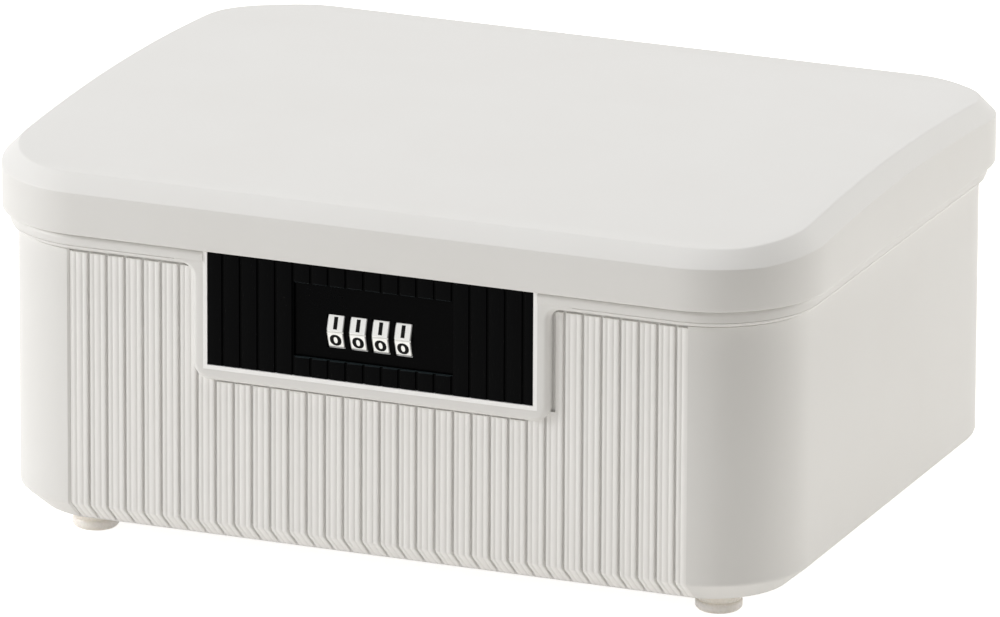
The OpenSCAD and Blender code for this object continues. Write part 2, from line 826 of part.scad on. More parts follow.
module lock_housing()
  place_lock() color(off_white)
    difference() {
      union() {
        difference() {
          union() {
            block(
              [-lock_w / 2, frame_face_y, lock_z],
              [lock_w / 2, frame_face_y + housing_front_d, lock_top_z]
            );
            block([-inner_w / 2, frame_face_y, pocket_z], [inner_w / 2, cover_y, lock_top_z]);
          }
          block(
            [-pocket_w / 2, frame_face_y - cut, pocket_z],
            [pocket_w / 2, fascia_back_y, lock_top_z + cut]
          );
          block(
            [-cavity_w / 2, frame_face_y - cut, cavity_z],
            [cavity_w / 2, cover_y + cut, cavity_top_z]
          );
        }
        spindle_support(rest_shift + support_x);
        spindle_support(rest_shift - support_x - support_t);
        for (side = [-1, 1])
          block(
            [rest_shift + side * guide_x - guide_t / 2, latch_y - bar_w / 2, bar_top_z + slide_gap],
            [rest_shift + side * guide_x + guide_t / 2, latch_y + bar_w / 2, cavity_top_z + cut]
          );
        for (p = post_places())
          rod_y(p[0], fascia_back_y, p[1], post_r, cover_y - fascia_back_y);
        for (side = [-1, 1], z = [under_z + boss_low, under_z + boss_high])
          housing_ear(side, z);
      }
      for (side = [-1, 1])
        translate([rest_shift + side * latch_at, latch_y, 0])
          block(
            [-latch_window_l / 2, -latch_window_w / 2 - slide_gap, cavity_top_z - cut],
            [latch_window_l / 2, latch_window_w / 2 + slide_gap, lock_top_z + cut]
          );
      for (p = post_places()) {
        rod_y(p[0], fascia_back_y - cut, p[1], peg_r + fascia_fit, peg_l + peg_spare + cut);
        rod_y(p[0], cover_y - pilot_l, p[1], pilot_r, pilot_l + cut);
      }
    }

// Middle of one of the fascia's grooves
function fascia_groove_x(i) = fascia_shift + (i - (fascia_grooves - 1) / 2) * fascia_pitch;

module ribbed_fascia()
  place_lock() color(lock_black) {
    difference() {
      block(
        [-pocket_w / 2 + fascia_fit, fascia_face_y, pocket_z + fascia_fit],
        [pocket_w / 2 - fascia_fit, fascia_back_y, lock_top_z]
      );
      for (i = [0 : fascia_grooves - 1])
        if (abs(fascia_groove_x(i)) < pocket_w / 2 - fascia_pitch / 3)
          translate([fascia_groove_x(i), fascia_face_y, 0])
            block(
              [-fascia_groove_w / 2, -cut, pocket_z],
              [fascia_groove_w / 2, fascia_groove_depth, lock_top_z + cut]
            );
      block(
        [fascia_shift - window_w / 2, fascia_face_y - cut, window_z - window_h / 2],
        [fascia_shift + window_w / 2, fascia_back_y + cut, window_z + window_h / 2]
      );
    }
    for (p = post_places())
      rod_y(p[0], fascia_back_y - fascia_t / 3, p[1], peg_r, peg_l + fascia_t / 3);
  }

// Middle of the code setting slider at rest, and its slot, up to the end of its travel
set_at = inner_w / 2 - set_in;
set_low_x = -set_at - set_neck_w / 2 - set_fit;
set_high_x = -set_at + set_neck_w / 2 + set_fit + set_travel;

module lock_back_cover()
  place_lock() color(lock_grey)
    difference() {
      union() {
        block([-inner_w / 2, cover_y, pocket_z], [inner_w / 2, cover_back_y, lock_top_z]);
        for (x = [rest_shift + support_x, rest_shift - support_x - support_t])
          block(
            [x, axis_y + spindle_r + spindle_seat, axis_z - spindle_flat / 2],
            [x + support_t, cover_y + cover_t / 2, axis_z + spindle_flat / 2]
          );
      }
      for (p = post_places())
        rod_y(p[0], cover_y - cut, p[1], pass_r, cover_t + 2 * cut);
      block(
        [set_low_x, cover_y - cut, axis_z - set_neck_h / 2 - set_fit],
        [set_high_x, cover_back_y + cut, axis_z + set_neck_h / 2 + set_fit]
      );
    }

module cover_screws()
  place_lock() color(steel)
    for (p = post_places())
      translate([p[0], cover_back_y, p[1]])
        rotate([90, 0, 0])
          screw(cover_t + screw_bite);

module housing_screws()
  place_lock() color(steel)
    for (side = [-1, 1], z = [under_z + boss_low, under_z + boss_high])
      translate([side * boss_x, ear_y + ear_t, z])
        rotate([90, 0, 0])
          screw(ear_t + screw_bite);

module code_set_slider()
  place_lock() color(lock_black) {
    translate([-set_at, cover_y + cover_t / 2, axis_z])
      cube([set_neck_w, cover_t + 2 * set_gap + set_flange_t, set_neck_h], center = true);
    translate([-set_at, cover_back_y + set_gap + set_knob_t / 2, axis_z])
      cube([set_knob, set_knob_t, set_knob], center = true);
    translate([-set_at, cover_y - set_gap - set_flange_t / 2, axis_z])
      cube([set_knob, set_flange_t, set_knob], center = true);
  }

// Distance from a wheel's middle to its lug, which stands beside the gate web
lug_x = web_t / 2 + (slide_travel - web_t - lug_t) / 2;
function wheel_x(i) = (i - 2.5) * wheel_pitch;

module spindle()
  place_rest() color(steel) {
    end_x = support_x + support_t;
    flat_l = support_t + spindle_float;
    difference() {
      rod_x(-end_x, axis_y, axis_z, spindle_r, 2 * end_x);
      for (x = [-end_x - cut, end_x - flat_l], s = [-1, 1])
        translate([x, axis_y - spindle_r - cut, axis_z + s * (spindle_flat + spindle_r) / 2 - spindle_r / 2])
          cube([flat_l + cut, 2 * (spindle_r + cut), spindle_r]);
    }
    for (i = [1 : 4])
      block(
        [wheel_x(i) + lug_x, axis_y - lug_w / 2, axis_z + spindle_r / 2],
        [wheel_x(i) + lug_x + lug_t, axis_y + lug_w / 2, axis_z + lug_r]
      );
  }

module number_plate()
  place_rest() color(lock_black)
    difference() {
      block(
        [-plate_w / 2, plate_face_y, window_z - window_h / 2 - plate_lap],
        [plate_w / 2, plate_back_y, window_z + window_h / 2 + plate_lap]
      );
      for (i = [1 : 4])
        rod_x(
          wheel_x(i) - wheel_w / 2 - wheel_clear, axis_y, axis_z,
          wheel_tip_r + wheel_clear, wheel_w + 2 * wheel_clear
        );
    }

module wheel_carriage()
  place_rest() color(lock_grey)
    difference() {
      union() {
        for (i = [0 : 4])
          block(
            [(i - 2) * wheel_pitch - divider_t / 2, plate_back_y, carriage_low_z],
            [(i - 2) * wheel_pitch + divider_t / 2, bridge_back_y, carriage_top_z]
          );
        block(
          [-divider_span / 2 - divider_t / 2, bridge_y, carriage_low_z],
          [divider_span / 2 + divider_t / 2, bridge_back_y, carriage_top_z]
        );
        for (side = [-1, 1])
          block(
            [side * divider_span / 2 - divider_t / 2, plate_back_y, cavity_z + slide_gap],
            [side * divider_span / 2 + divider_t / 2, bridge_back_y, carriage_low_z + cut]
          );
        for (side = [-1, 1])
          translate([side * carriage_boss_x, latch_y, carriage_top_z - carriage_boss_h])
            cylinder(r = carriage_boss_r, h = carriage_boss_h);
      }
      rod_x(-divider_span, axis_y, axis_z, carriage_hole_r, 2 * divider_span);
      for (side = [-1, 1])
        translate([side * carriage_boss_x, latch_y, carriage_top_z - pilot_l])
          cylinder(r = pilot_r, h = pilot_l + cut);
    }

module latch_bar()
  place_rest() color(steel)
    difference() {
      block(
        [-bar_l / 2, latch_y - bar_w / 2, carriage_top_z],
        [bar_l / 2, latch_y + bar_w / 2, bar_top_z]
      );
      for (side = [-1, 1])
        block(
          [side * latch_at - latch_window_l / 2, latch_y - latch_window_w / 2, carriage_top_z - cut],
          [side * latch_at + latch_window_l / 2, latch_y + latch_window_w / 2, bar_top_z + cut]
        );
      for (side = [-1, 1])
        translate([side * carriage_boss_x, latch_y, carriage_top_z - cut])
          cylinder(r = pass_r, h = bar_t + 2 * cut);
    }

module latch_bar_screws()
  place_rest() color(steel)
    for (side = [-1, 1])
      translate([side * carriage_boss_x, latch_y, bar_top_z])
        rotate([180, 0, 0])
          screw(bar_t + screw_bite);

// Leaf spring with one raised finger under each wheel
module wheel_spring()
  place_rest() color(steel) {
    half_l = divider_span / 2 - divider_t / 2 - spring_end_gap;
    block(
      [-half_l, axis_y - spring_w / 2, carriage_low_z - spring_t],
      [half_l, axis_y + spring_w / 2, carriage_low_z]
    );
    for (i = [1 : 4])
      translate([wheel_x(i) - finger_w / 2, axis_y, 0])
        rotate([90, 0, 90])
          linear_extrude(finger_w)
            polygon([
              [-finger_run / 2, carriage_low_z - spring_t / 2],
              [finger_run / 2, carriage_low_z - spring_t / 2],
              [finger_tip / 2, axis_z - wheel_tip_r - wheel_clear],
              [-finger_tip / 2, axis_z - wheel_tip_r - wheel_clear]
            ]);
  }

// Ten-sided wheel with a keyed bore
module number_wheel(i)
  place_rest() color(wheel_silver)
    translate([wheel_x(i) - wheel_w / 2, axis_y, axis_z])
      rotate([90, 0, 90])
        linear_extrude(wheel_w)
          difference() {
            circle(r = wheel_tip_r, $fn = 10);
            circle(r = sleeve_r + sleeve_fit);
            for (k = [0 : 9])
              rotate([0, 0, 36 * k])
                translate([-key_w / 2 - key_fit, sleeve_r / 2])
                  square([key_w + 2 * key_fit, sleeve_r / 2 + key_h + key_fit]);
          }

module number_wheel_1() number_wheel(1);
module number_wheel_2() number_wheel(2);
module number_wheel_3() number_wheel(3);
module number_wheel_4() number_wheel(4);

// Sleeve whose inner web lets the spindle's lug through at one angle only
module gate_sleeve(i)
  place_rest() color("goldenrod")
    difference() {
      union() {
        rod_x(wheel_x(i) - wheel_w / 2, axis_y, axis_z, sleeve_r, wheel_w);
        block(
          [wheel_x(i) - wheel_w / 2, axis_y - key_w / 2, axis_z],
          [wheel_x(i) + wheel_w / 2, axis_y + key_w / 2, axis_z + sleeve_r + key_h]
        );
      }
      for (x = [wheel_x(i) - wheel_w / 2 - cut, wheel_x(i) + web_t / 2])
        rod_x(x, axis_y, axis_z, lug_r + 1.5 * gate_fit, wheel_w / 2 - web_t / 2 + cut);
      rod_x(wheel_x(i) - wheel_w, axis_y, axis_z, spindle_r + spindle_play, 2 * wheel_w);
      block(
        [wheel_x(i) - wheel_w / 2, axis_y - lug_w / 2 - gate_fit, axis_z],
        [wheel_x(i) + wheel_w / 2, axis_y + lug_w / 2 + gate_fit, axis_z + lug_r + gate_fit]
      );
    }

module gate_sleeve_1() gate_sleeve(1);
module gate_sleeve_2() gate_sleeve(2);
module gate_sleeve_3() gate_sleeve(3);
module gate_sleeve_4() gate_sleeve(4);

body_shell();
foot_front_left();
foot_front_right();
foot_back_left();
foot_back_right();
hinge_pin_left();
hinge_pin_right();
lid_shell();
lid_striker();
striker_screws();
lock_housing();
ribbed_fascia();
lock_back_cover();
cover_screws();
housing_screws();
code_set_slider();
spindle();
number_plate();
wheel_carriage();
latch_bar();
latch_bar_screws();
wheel_spring();
number_wheel_1();
number_wheel_2();
number_wheel_3();
number_wheel_4();
gate_sleeve_1();
gate_sleeve_2();
gate_sleeve_3();
gate_sleeve_4();
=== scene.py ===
from math import atan2, cos, hypot, pi, radians, sin, sqrt, tan

import bmesh
import bpy
from mathutils import Matrix, Vector
from mathutils.geometry import tessellate_polygon


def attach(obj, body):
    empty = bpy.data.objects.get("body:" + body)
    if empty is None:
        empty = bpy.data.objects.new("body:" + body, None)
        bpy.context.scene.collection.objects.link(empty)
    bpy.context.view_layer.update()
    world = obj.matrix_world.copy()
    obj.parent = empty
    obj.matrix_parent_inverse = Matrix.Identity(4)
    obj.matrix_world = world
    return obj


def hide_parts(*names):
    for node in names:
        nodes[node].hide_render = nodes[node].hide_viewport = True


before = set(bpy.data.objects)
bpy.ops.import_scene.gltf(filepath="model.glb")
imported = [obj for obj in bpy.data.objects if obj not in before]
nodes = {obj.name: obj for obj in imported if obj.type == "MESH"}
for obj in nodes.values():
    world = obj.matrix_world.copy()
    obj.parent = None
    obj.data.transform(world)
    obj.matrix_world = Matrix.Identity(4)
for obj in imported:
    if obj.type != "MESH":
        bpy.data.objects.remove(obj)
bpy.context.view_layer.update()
print("frame loaded,", len(nodes), "nodes")

mm = 0.001
weldReach = 0.0004  # points closer than this are one
caseY = -3.65  # middle of the case, front to back; the hinges behind it shift the frame's origin


# mesh helpers, all in millimetres

def editMesh(mesh, edit):
    bm = bmesh.new()
    bm.from_mesh(mesh)
    edit(bm)
    bm.to_mesh(mesh)
    bm.free()
    return mesh


def makeMesh(name, points, faces):
    mesh = bpy.data.meshes.new(name)
    mesh.from_pydata([(x * mm, y * mm, z * mm) for x, y, z in points], [], faces)

    def weld(bm):
        bmesh.ops.remove_doubles(bm, verts=bm.verts, dist=weldReach * mm)
        bmesh.ops.dissolve_degenerate(bm, edges=bm.edges, dist=weldReach * mm)

    return editMesh(mesh, weld)


def joinMeshes(name, meshes):
    bm = bmesh.new()
    for mesh in meshes:
        bm.from_mesh(mesh)
        bpy.data.meshes.remove(mesh)
    joined = bpy.data.meshes.new(name)
    bm.to_mesh(joined)
    bm.free()
    return joined


def placeObject(name, data):
    thing = bpy.data.objects.new(name, data)
    bpy.context.scene.collection.objects.link(thing)
    return thing


def makePiece(name, mesh, material, angle):
    # edges that turn by less than the angle are shaded soft
    def shade(bm):
        for face in bm.faces:
            face.smooth = True
        for edge in bm.edges:
            edge.smooth = len(edge.link_faces) == 2 and edge.calc_face_angle(0) < radians(angle)

    editMesh(mesh, shade)
    mesh.materials.clear()
    mesh.materials.append(material)
    return placeObject(name, mesh)


def addLoop(points, loop):
    start = len(points)
    points.extend(loop)
    return list(range(start, len(points)))


def bridge(faces, low, high, closed=True, leaveOut=None):
    count = len(low)
    for i in range(count if closed else count - 1):
        if leaveOut is None or not leaveOut(i):
            j = (i + 1) % count
            faces.append((low[i], low[j], high[j], high[i]))


def bridgeAll(faces, loops, closed=True):
    for low, high in zip(loops, loops[1:]):
        bridge(faces, low, high, closed)


def rectangle(left, right, low, top):
    return [(left, low), (right, low), (right, top), (left, top)]


def quarterTurn(steps):
    # sine and cosine from 0 to 90 degrees
    return [(sin(radians(90) * k / steps), cos(radians(90) * k / steps)) for k in range(steps + 1)]


def arcPoints(cy, cz, radius, start, sweep, steps):
    turns = [radians(start + sweep * k / steps) for k in range(steps + 1)]
    return [(cy + radius * cos(t), cz + radius * sin(t)) for t in turns]


def roundCorner(corner, before, after, radius, steps):
    # points of a fillet at a corner of a flat outline
    a = (Vector(before) - Vector(corner)).normalized()
    b = (Vector(after) - Vector(corner)).normalized()
    half = a.angle(b) / 2
    reach = radius / tan(half)
    middle = Vector(corner) + (a + b).normalized() * (radius / sin(half))
    first = Vector(corner) + a * reach - middle
    last = Vector(corner) + b * reach - middle
    turn = first.angle_signed(last)
    out = []
    for k in range(steps + 1):
        t = -turn * k / steps
        out.append((middle.x + first.x * cos(t) - first.y * sin(t),
                    middle.y + first.x * sin(t) + first.y * cos(t)))
    return out


def turned(name, profile, centre, axis, steps):
    # profile of (radius, height) turned about an axis through centre; radius 0 closes an end
    up = Vector(axis).normalized()
    side = up.orthogonal().normalized()
    other = up.cross(side)
    points, faces, loops = [], [], []
    for radius, height in profile:
        level = Vector(centre) + up * height
        loops.append(addLoop(points, [tuple(level + side * radius * cos(2 * pi * k / steps)
                                            + other * radius * sin(2 * pi * k / steps))
                                      for k in range(steps)]))
    bridgeAll(faces, loops)
    return makeMesh(name, points, faces)


# node helpers

def newNode(tree, kind, place):
    node = tree.nodes.new(kind)
    node.location = place
    return node


def feed(tree, socket, value):
    # value is another socket's output or a plain value
    if hasattr(value, "is_output"):
        tree.links.new(value, socket)
    else:
        socket.default_value = value


def addSockets(tree, inputs, outputs):
    for way, sockets in (("INPUT", inputs), ("OUTPUT", outputs)):
        for label, kind, *value in sockets:
            socket = tree.interface.new_socket(name=label, in_out=way, socket_type="NodeSocket" + kind)
            if value:
                socket.default_value = value[0]


def newGroup(name, inputs, outputs):
    group = bpy.data.node_groups.new(name, "ShaderNodeTree")
    addSockets(group, inputs, outputs)
    start = newNode(group, "NodeGroupInput", (-900, 0))
    end = newNode(group, "NodeGroupOutput", (700, 0))
    return group, start.outputs, end.inputs


def noiseNode(tree, vector, scale, detail, roughness, place):
    noise = newNode(tree, "ShaderNodeTexNoise", place)
    labels = ("Vector", "Scale", "Detail", "Roughness")
    for label, value in zip(labels, (vector, scale, detail, roughness)):
        feed(tree, noise.inputs[label], value)
    return noise.outputs["Fac"]


def mathNode(tree, operation, values, place, clamp=False):
    node = newNode(tree, "ShaderNodeMath", place)
    node.operation = operation
    node.use_clamp = clamp
    for socket, value in zip(node.inputs, values):
        feed(tree, socket, value)
    return node.outputs[0]


def vectorNode(tree, operation, first, second, place):
    node = newNode(tree, "ShaderNodeVectorMath", place)
    node.operation = operation
    tree.links.new(first, node.inputs[0])
    tree.links.new(second, node.inputs[1])
    return node.outputs


def mapRange(tree, value, source, target, place):
    node = newNode(tree, "ShaderNodeMapRange", place)
    labels = ("Value", "From Min", "From Max", "To Min", "To Max")
    for label, part in zip(labels, (value, *source, *target)):
        feed(tree, node.inputs[label], part)
    return node.outputs["Result"]


def spread(tree, value, target, place):
    # stretches the part of its range that a noise mostly fills
    return mapRange(tree, value, (0.3, 0.7), target, place)


def blendColour(tree, mask, first, second, place):
    mix = newNode(tree, "ShaderNodeMix", place)
    mix.data_type = "RGBA"
    tree.links.new(mask, mix.inputs[0])
    for socket, value in ((mix.inputs[6], first), (mix.inputs[7], second)):
        feed(tree, socket, value if hasattr(value, "is_output") else (*value, 1))
    return mix.outputs[2]


def bumpNode(tree, height, strength, depth, place):
    bump = newNode(tree, "ShaderNodeBump", place)
    bump.inputs["Strength"].default_value = strength
    bump.inputs["Distance"].default_value = depth * mm
    tree.links.new(height, bump.inputs["Height"])
    return bump.outputs["Normal"]


# shader groups

def buildMouldGrain():
    # spark-eroded mould texture with slow unevenness under it
    group, start, end = newGroup(
        "mouldGrain",
        [("Vector", "Vector"), ("Grain Scale", "Float", 1400.0), ("Patch Scale", "Float", 22.0),
         ("Unevenness", "Float", 0.15)],
        [("Height", "Float"), ("Grain", "Float"), ("Patches", "Float")])
    grain = noiseNode(group, start["Vector"], start["Grain Scale"], 3, 0.55, (-600, 200))
    patches = noiseNode(group, start["Vector"], start["Patch Scale"], 2, 0.5, (-600, -200))
    slow = mathNode(group, "MULTIPLY", (patches, start["Unevenness"]), (-200, -100))
    height = mathNode(group, "ADD", (grain, slow), (100, 100))
    for label, value in (("Height", height), ("Grain", grain), ("Patches", patches)):
        group.links.new(value, end[label])
    return group


def buildRubMarks():
    # faint marks drawn out along one direction
    group, start, end = newGroup(
        "rubMarks",
        [("Vector", "Vector"), ("Stretch", "Vector", (1.0, 1.0, 12.0)), ("Scale", "Float", 420.0)],
        [("Lines", "Float")])
    scaled = vectorNode(group, "MULTIPLY", start["Vector"], start["Stretch"], (-650, 100))
    lines = noiseNode(group, scaled["Vector"], start["Scale"], 4, 0.6, (-400, 100))
    group.links.new(lines, end["Lines"])
    return group


def buildFacingMask():
    # one on faces that look along an axis, either way, and nothing on the others; it places painted light
    # and shade
    group, start, end = newGroup(
        "paintedLightMask",
        [("Vector", "Vector"), ("Axis", "Vector", (0.0, 0.0, 1.0)), ("Low", "Float", 0.4),
         ("High", "Float", 0.9)],
        [("Mask", "Float")])
    along = vectorNode(group, "DOT_PRODUCT", start["Vector"], start["Axis"], (-600, 0))
    size = mathNode(group, "ABSOLUTE", (along["Value"],), (-350, 0))
    mask = mapRange(group, size, (start["Low"], start["High"]), (0.0, 1.0), (-50, 0))
    group.links.new(mask, end["Mask"])
    return group


mouldGrain = buildMouldGrain()
rubMarks = buildRubMarks()
paintedLightMask = buildFacingMask()


# materials

def newMaterial(name):
    material = bpy.data.materials.new(name)
    material.use_nodes = True
    tree = material.node_tree
    where = newNode(tree, "ShaderNodeTexCoord", (-1300, 0))
    return material, tree, tree.nodes["Principled BSDF"].inputs, where.outputs["Object"]


def placeGroup(tree, group, vector, place, **values):
    node = newNode(tree, "ShaderNodeGroup", place)
    node.node_tree = group
    tree.links.new(vector, node.inputs["Vector"])
    for label, value in values.items():
        node.inputs[label.replace("_", " ")].default_value = value
    return node.outputs


def dressShader(tree, shader, colour, roughMask, rough, height, strength, depth):
    tree.links.new(colour, shader["Base Color"])
    tree.links.new(spread(tree, roughMask, rough, (-400, 50)), shader["Roughness"])
    tree.links.new(bumpNode(tree, height, strength, depth, (-400, -200)), shader["Normal"])


def mouldedPlastic(name, light, dark, rough, grainScale, grainDepth, specular):
    material, tree, shader, where = newMaterial(name)
    grain = placeGroup(tree, mouldGrain, where, (-1000, 0), Grain_Scale=grainScale)
    patches = spread(tree, grain["Patches"], (0.0, 1.0), (-700, 300))
    colour = blendColour(tree, patches, light, dark, (-400, 300))
    dressShader(tree, shader, colour, grain["Grain"], (rough - 0.05, rough + 0.05),
                grain["Height"], 0.35, grainDepth)
    shader["Specular IOR Level"].default_value = specular
    return material


def metalFinish(name, light, dark, rough, stretch, metallic):
    material, tree, shader, where = newMaterial(name)
    marks = placeGroup(tree, rubMarks, where, (-1000, 0), Stretch=stretch)
    colour = blendColour(tree, marks["Lines"], light, dark, (-400, 300))
    dressShader(tree, shader, colour, marks["Lines"], (rough - 0.07, rough + 0.07),
                marks["Lines"], 0.25, 0.02)
    shader["Metallic"].default_value = metallic
    return material


# light and dark tone, roughness, fineness and depth of the grain, specular level
plastics = {
    "caseWhite": ((0.77, 0.762, 0.747), (0.76, 0.75, 0.733), 0.46, 1500.0, 0.02, 0.4),
    # ribWhitePaintedSheen: the case's plastic painted lighter; the extra lightness is painted sheen for
    # light on the ribs' rounded ridges
    "ribWhitePaintedSheen": ((0.86, 0.85, 0.835), (0.85, 0.838, 0.82), 0.42, 1500.0, 0.02, 0.45),
    "lockTrim": ((0.97, 0.965, 0.96), (0.95, 0.945, 0.94), 0.42, 1700.0, 0.015, 0.42),
    "fasciaBlack": ((0.0006, 0.0007, 0.0009), (0.0009, 0.0010, 0.0012), 0.34, 1900.0, 0.012, 0.03),
    "plateBlack": ((0.0006, 0.0007, 0.0009), (0.0009, 0.0009, 0.0011), 0.24, 1200.0, 0.006, 0.025),
    "lockGrey": ((0.10, 0.10, 0.105), (0.08, 0.08, 0.084), 0.45, 1300.0, 0.025, 0.45),
    "sliderBlack": ((0.02, 0.02, 0.021), (0.03, 0.03, 0.031), 0.38, 1500.0, 0.02, 0.45),
    "digitInk": ((0.004, 0.004, 0.004), (0.007, 0.007, 0.007), 0.5, 2500.0, 0.004, 0.06),
}

# light and dark tone, roughness, stretch of the rub marks, metallic share
metals = {
    "wheelSilver": ((0.86, 0.86, 0.84), (0.74, 0.74, 0.72), 0.34, (1.0, 9.0, 9.0), 0.55),
    "screwSteel": ((0.62, 0.62, 0.63), (0.48, 0.48, 0.49), 0.30, (5.0, 5.0, 5.0), 1.0),
    "springSteel": ((0.60, 0.60, 0.61), (0.50, 0.50, 0.52), 0.26, (1.0, 14.0, 14.0), 1.0),
    "sleeveBrass": ((0.75, 0.58, 0.30), (0.62, 0.46, 0.22), 0.28, (12.0, 2.0, 2.0), 1.0),
}

# axis of the faces, where the tint begins and where it is full, tint; each tint is painted light, put on
# faces by which way they look
facingPaintedLight = {
    # painted highlight: faces of the black fascia that look up or down, such as the window's sill, get a
    # lighter grey
    "fasciaBlack": ((0.0, 0.0, 1.0), 0.3, 0.9, (0.022, 0.030, 0.033)),
    # painted shade: the number wheels' sides, which look along X, get a dark grey
    "wheelSilver": ((1.0, 0.0, 0.0), 0.15, 0.5, (0.03, 0.03, 0.03)),
}

footLook = {
    "light": (0.99, 0.95, 0.91), "dark": (0.97, 0.92, 0.86), "rough": (0.22, 0.34),
    "grainScale": 900.0, "patchScale": 130.0, "unevenness": 0.4, "bump": 0.3, "grainDepth": 0.03,
    "lowTint": (0.90, 0.85, 0.79), "lowFrom": 1.7, "lowTo": 0.8,
    # highTint is painted shade on the pad's upper half, under the case
    "highTint": (0.95, 0.90, 0.83), "highFrom": 2.6, "highTo": 3.6,
    "milk": 0.1, "milkRadius": (1.0, 0.8, 0.6), "milkScale": 0.003,
}


def tintFacing(name, axis, low, high, tint):
    # another colour on the faces that look along an axis, painted in place of the light and shade they
    # catch
    tree = finishes[name].node_tree
    base = tree.nodes["Principled BSDF"].inputs["Base Color"]
    normal = tree.nodes["Texture Coordinate"].outputs["Normal"]
    facing = placeGroup(tree, paintedLightMask, normal, (-400, 600), Axis=axis, Low=low, High=high)
    colour = blendColour(tree, facing["Mask"], base.links[0].from_socket, tint, (-150, 450))
    tree.links.new(colour, base)


def footRubber():
    # milky pad, a little darker at its lower edge, and darker in its upper half with painted shade from the
    # case above it
    look = footLook
    material, tree, shader, where = newMaterial("footRubber")
    grain = placeGroup(tree, mouldGrain, where, (-1000, 0), Grain_Scale=look["grainScale"],
                       Patch_Scale=look["patchScale"], Unevenness=look["unevenness"])
    parts = newNode(tree, "ShaderNodeSeparateXYZ", (-1000, 400))
    tree.links.new(where, parts.inputs[0])
    patches = spread(tree, grain["Patches"], (0.0, 1.0), (-700, 200))
    colour = blendColour(tree, patches, look["light"], look["dark"], (-500, 200))
    for row, zone in enumerate(("low", "high")):
        ends = (look[zone + "From"] * mm, look[zone + "To"] * mm)
        mask = mapRange(tree, parts.outputs["Z"], ends, (0.0, 1.0), (-800, 400 + 200 * row))
        colour = blendColour(tree, mask, colour, look[zone + "Tint"], (-300 + 150 * row, 300))
    dressShader(tree, shader, colour, grain["Grain"], look["rough"],
                grain["Height"], look["bump"], look["grainDepth"])
    shader["Subsurface Weight"].default_value = look["milk"]
    shader["Subsurface Radius"].default_value = look["milkRadius"]
    shader["Subsurface Scale"].default_value = look["milkScale"]
    return material


finishes = {name: mouldedPlastic(name, *values) for name, values in plastics.items()}
finishes |= {name: metalFinish(name, *values) for name, values in metals.items()}
finishes["footRubber"] = footRubber()
for name, values in facingPaintedLight.items():
    tintFacing(name, *values)
print("finishes ready,", len(finishes))


# rows of equal ribs, by Geometry Nodes

def buildRowTree():
    tree = bpy.data.node_groups.new("rowOfRibs", "GeometryNodeTree")
    addSockets(tree, [("Geometry", "Geometry"), ("Rib", "Object"), ("Count", "Int"), ("Pitch", "Float"),
                      ("First Place", "Vector"), ("Finish", "Material")], [("Geometry", "Geometry")])
    kinds = ("NodeGroupInput", "ShaderNodeCombineXYZ", "GeometryNodeMeshLine", "GeometryNodeObjectInfo",
             "GeometryNodeInstanceOnPoints", "GeometryNodeRealizeInstances", "GeometryNodeSetMaterial",
             "NodeGroupOutput")
    start, step, line, rib, copies, real, paint, end = (
        newNode(tree, kind, (x * 200 - 800, 0)) for x, kind in enumerate(kinds))
    link = tree.links.new
    link(start.outputs["Pitch"], step.inputs["X"])
    link(start.outputs["Count"], line.inputs["Count"])
    link(start.outputs["First Place"], line.inputs["Start Location"])
    link(step.outputs[0], line.inputs["Offset"])
    link(start.outputs["Rib"], rib.inputs["Object"])
    link(line.outputs["Mesh"], copies.inputs["Points"])
    link(rib.outputs["Geometry"], copies.inputs["Instance"])
    link(copies.outputs["Instances"], real.inputs["Geometry"])
    link(real.outputs["Geometry"], paint.inputs["Geometry"])
    link(start.outputs["Finish"], paint.inputs["Material"])
    link(paint.outputs["Geometry"], end.inputs["Geometry"])
    return tree


rowTree = buildRowTree()


def ribRow(name, oneRib, count, firstX, pitch, material):
    # the one rib stands at x = 0; the row starts at firstX
    rib = makePiece(name + "Rib", oneRib, material, 40)
    holder = placeObject(name + "Holder", bpy.data.meshes.new(name + "Holder"))
    row = holder.modifiers.new("row", "NODES")
    row.node_group = rowTree
    sockets = {item.name: item.identifier for item in rowTree.interface.items_tree
               if item.item_type == "SOCKET" and item.in_out == "INPUT"}
    row[sockets["Rib"]] = rib
    row[sockets["Count"]] = count
    row[sockets["Pitch"]] = pitch * mm
    row[sockets["First Place"]] = (firstX * mm, 0.0, 0.0)
    row[sockets["Finish"]] = material
    bpy.context.view_layer.update()
    ready = holder.evaluated_get(bpy.context.evaluated_depsgraph_get())
    mesh = bpy.data.meshes.new_from_object(ready)
    mesh.name = name
    bpy.data.objects.remove(holder)
    bpy.data.objects.remove(rib)
    return mesh


# the case

